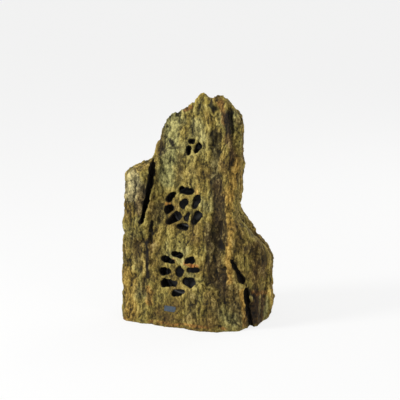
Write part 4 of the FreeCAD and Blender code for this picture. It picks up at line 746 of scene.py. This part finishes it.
# Finishes of the pieces that the solids already give their shape, by the record's slot.
FINISHES = {
    # Powder coat on pressed steel: black, with a fine orange peel.
    "basket_metal": flecked("powder_coated_steel", "#161616", "#242424", 1.2, (0.42, 0.55), bump=0.05),
    # Zinc plating: grey-white metal with a faint spangle.
    "plate_steel": flecked("zinc_plated_steel", "#8f9296", "#b4b6b8", 3.0, (0.28, 0.42), metallic=1.0),
    # Stainless screws: turned, bright.
    "screw_steel": flecked("stainless_steel", "#a9a9a6", "#c9c8c4", 1.5, (0.22, 0.36), metallic=1.0),
    # Sintered ferrite: dark grey, ground faces with small chips.
    "ferrite": flecked("sintered_ferrite", "#26262a", "#3d3d42", 0.8, (0.5, 0.7), bump=0.05),
    # Pressed paper pulp, treated against damp: black with pale fibres.
    "cone_pulp": flecked(
        "treated_paper_pulp", "#0b0b0c", "#1e1e20", 2.0, (0.5, 0.7), stretch=(1, 1, 2), bump=0.12,
    ),
    # Butyl rubber: black, dull, with a greyish bloom.
    "surround_rubber": flecked("butyl_rubber", "#0d0d0d", "#1f1f20", 4.0, (0.5, 0.66)),
    # Phenolic cloth: tan weave.
    "spider_cloth": flecked("phenolic_cloth", "#8a6430", "#b98a4a", 1.0, (0.7, 0.85), bump=0.1),
    # Coated silk: soft dark sheen.
    "dome_cloth": flecked("coated_silk", "#141416", "#27272b", 0.7, (0.4, 0.55), bump=0.04),
    # Enamelled copper wire: windings show as fine rings.
    "coil_copper": flecked(
        "enamelled_copper", "#8c4a22", "#c47a45", 0.8, (0.25, 0.4), stretch=(8, 8, 0.6), metallic=1.0,
    ),
    # Closed-cell foam: black, porous.
    "foam_gasket": flecked("closed_cell_foam", "#121212", "#252525", 0.9, (0.8, 0.95), bump=0.2),
    # Moulded ABS: black, fine spark-eroded texture.
    "faceplate_plastic": flecked("moulded_abs", "#151515", "#202020", 0.6, (0.45, 0.6), bump=0.04),
    # Plywood stained black, so that it does not show through the holes: long grain.
    "board_wood": flecked(
        "black_stained_plywood", "#0c0a08", "#1c1712", 5.0, (0.5, 0.7), stretch=(12, 1, 1), bump=0.05,
    ),
    # Moulded polyethylene: black, waxy.
    "base_plastic": flecked("moulded_polyethylene", "#161616", "#232322", 1.4, (0.5, 0.65), bump=0.06),
    # Nylon: black, semi-matt.
    "gland_nylon": flecked("moulded_nylon", "#141415", "#222224", 0.8, (0.38, 0.5), bump=0.03),
    # Stove enamel on a thin plate, left blank: blue-grey, worn paler in patches.
    "badge_enamel": flecked("stove_enamel", "#2b3740", "#45525f", 2.6, (0.35, 0.5), bump=0.05),
    # Glass-fibre laminate under green lacquer: faint weave.
    "circuit_board": flecked("lacquered_laminate", "#1d4a2a", "#2c6a3c", 1.0, (0.3, 0.42)),
    # Natural nylon: milky.
    "standoff_nylon": flecked("natural_nylon", "#cfcabb", "#e4e0d4", 1.2, (0.4, 0.52)),
    # Polyester film wrap: yellow, smooth.
    "capacitor_film": flecked("polyester_film", "#b98f22", "#d3aa38", 6.0, (0.22, 0.32)),
    # Cement casting: off-white, gritty.
    "resistor_cement": flecked("cast_cement", "#c0bcb0", "#dedad0", 0.5, (0.75, 0.9), bump=0.08),
    # Varnished steel laminations: dark edges in thin layers.
    "core_laminations": flecked(
        "varnished_laminations", "#1b1918", "#47403a", 0.7, (0.35, 0.55), stretch=(30, 30, 1), metallic=0.6,
    ),
    # Polyester tape over the winding: amber.
    "winding_tape": flecked("polyester_tape", "#a87a18", "#c99a30", 5.0, (0.25, 0.35)),
}
for subpart in frame["record"]["subparts"]:
    if subpart["material_slot"] in FINISHES:
        slots = NODES[subpart["node"]].data.materials
        slots.clear()
        slots.append(FINISHES[subpart["material_slot"]])

# The soft rings of a woofer are held by the basket outside and by the cone inside, and give way between two
# radii in mm. A ring is cut into sectors.
SOFT_RINGS = (
    # ring, slot, sectors, radius that stays, radius that goes with the cone
    ("surround", "surround_rubber", 12, 54.8, 46.8),
    ("spider", "spider_cloth", 6, 30.3, 17.0),
)
SHARP_EDGE = math.radians(40)


def make_soft_ring(joint, ring, slot, sectors, stays, goes):
    """A soft ring of the woofer whose cone the joint moves, cut into sectors."""
    node = joint["child"].replace("cone", "woofer_" + ring)
    middle = middle_of(node)
    axis = Vector(joint["axis"])
    across = Vector((1.0, 0.0, 0.0))
    upwards = axis.cross(across)
    for sector in range(sectors):
        starts, halfway, ends = [
            across * math.cos(math.tau * turn / sectors) + upwards * math.sin(math.tau * turn / sectors)
            for turn in (sector, sector + 0.5, sector + 1)
        ]
        form = merged_form(node)
        for side in (axis.cross(starts), -axis.cross(ends)):
            everything = form.verts[:] + form.edges[:] + form.faces[:]
            bmesh.ops.bisect_plane(form, geom=everything, plane_co=middle, plane_no=side, clear_inner=True)
        bmesh.ops.holes_fill(form, edges=[edge for edge in form.edges if edge.is_boundary], sides=0)
        mesh = mesh_of(form, node)
        mesh.shade_smooth()
        mesh.set_sharp_from_angle(angle=SHARP_EDGE)
        mesh.materials.append(FINISHES[slot])
        piece = show(mesh, f"{node}_sector_{sector + 1}")
        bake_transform(piece)
        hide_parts(node)


for joint in frame["record"]["behaviour"]["joints"]:
    for soft_ring in SOFT_RINGS:
        make_soft_ring(joint, *soft_ring)

# Lamps: place and width of each in metres, and power in watts.
LAMPS = (
    ("key_light", (-1.5, -1.9, 2.1), 0.7, 60.0),
    ("fill_light", (2.2, -1.2, 1.0), 1.6, 14.0),
    ("back_light", (0.4, 2.2, 1.8), 1.4, 16.0),
)
# To the camera, and in metal and glass, the sky is white; this is how bright it is to all else.
SKY_LIGHT = 0.42
# The camera sees this share of the floor as plain white, and the rest of it keeps the shadow.
FLOOR_WHITE = 0.8
# Metres of floor to each side.
FLOOR_REACH = 30.0
WHITE = (1, 1, 1, 1)


def make_floor():
    """A floor of white paper that keeps the shadow."""
    form = bmesh.new()
    bmesh.ops.create_grid(form, x_segments=1, y_segments=1, size=FLOOR_REACH)
    floor = show(mesh_of(form, "floor"), "floor")
    paper, tree, shader = new_material("white_paper_floor")
    fill(tree, shader, {"Base Color": linear("#f2f2f0"), "Roughness": 0.9})
    to_camera = add(tree, "ShaderNodeLightPath").outputs["Is Camera Ray"]
    bright = add(tree, "ShaderNodeEmission", {"Color": WHITE, "Strength": 1.0})
    share = add(tree, "ShaderNodeMath", {0: to_camera, 1: FLOOR_WHITE}, operation="MULTIPLY")
    mixed = add(tree, "ShaderNodeMixShader", {0: share, 1: shader, 2: bright})
    fill(tree, tree.nodes["Material Output"], {"Surface": mixed})
    floor.data.materials.append(paper)


def make_sky():
    """A white sky that lights all sides a little."""
    world = bpy.data.worlds.new("studio")
    bpy.context.scene.world = world
    world.use_nodes = True
    tree = world.node_tree
    path = add(tree, "ShaderNodeLightPath").outputs
    shown = path["Is Camera Ray"]
    for other in ("Is Glossy Ray", "Is Transmission Ray"):
        shown = add(tree, "ShaderNodeMath", {0: shown, 1: path[other]}, operation="MAXIMUM")
    strength = add(tree, "ShaderNodeMapRange", {"Value": shown, "To Min": SKY_LIGHT})
    fill(tree, tree.nodes["Background"], {"Color": WHITE, "Strength": strength})


def make_lamps():
    """Soft light from the upper left, with a weaker one on the right and one behind."""
    for name, place, width, power in LAMPS:
        lamp = bpy.data.lights.new(name, "AREA")
        lamp.size = width
        lamp.energy = power
        light = bpy.data.objects.new(name, lamp)
        light.location = place
        light.rotation_euler = (AIM - Vector(place)).to_track_quat("-Z", "Y").to_euler()
        bpy.context.scene.collection.objects.link(light)


def make_camera():
    """A long lens at the photograph's viewing angle, as wide as the picture at the object's distance."""
    lens = bpy.data.cameras.new("camera")
    lens.lens = lens.sensor_width * CAMERA_DISTANCE / PICTURE_WIDTH
    lens.clip_end = 100.0
    camera = bpy.data.objects.new("camera", lens)
    camera.location = EYE
    camera.rotation_euler = (-VIEW_BACK).to_track_quat("-Z", "Y").to_euler()
    bpy.context.scene.collection.objects.link(camera)
    bpy.context.scene.camera = camera


make_floor()
make_sky()
make_lamps()
make_camera()
bpy.context.scene.view_settings.view_transform = "Standard"
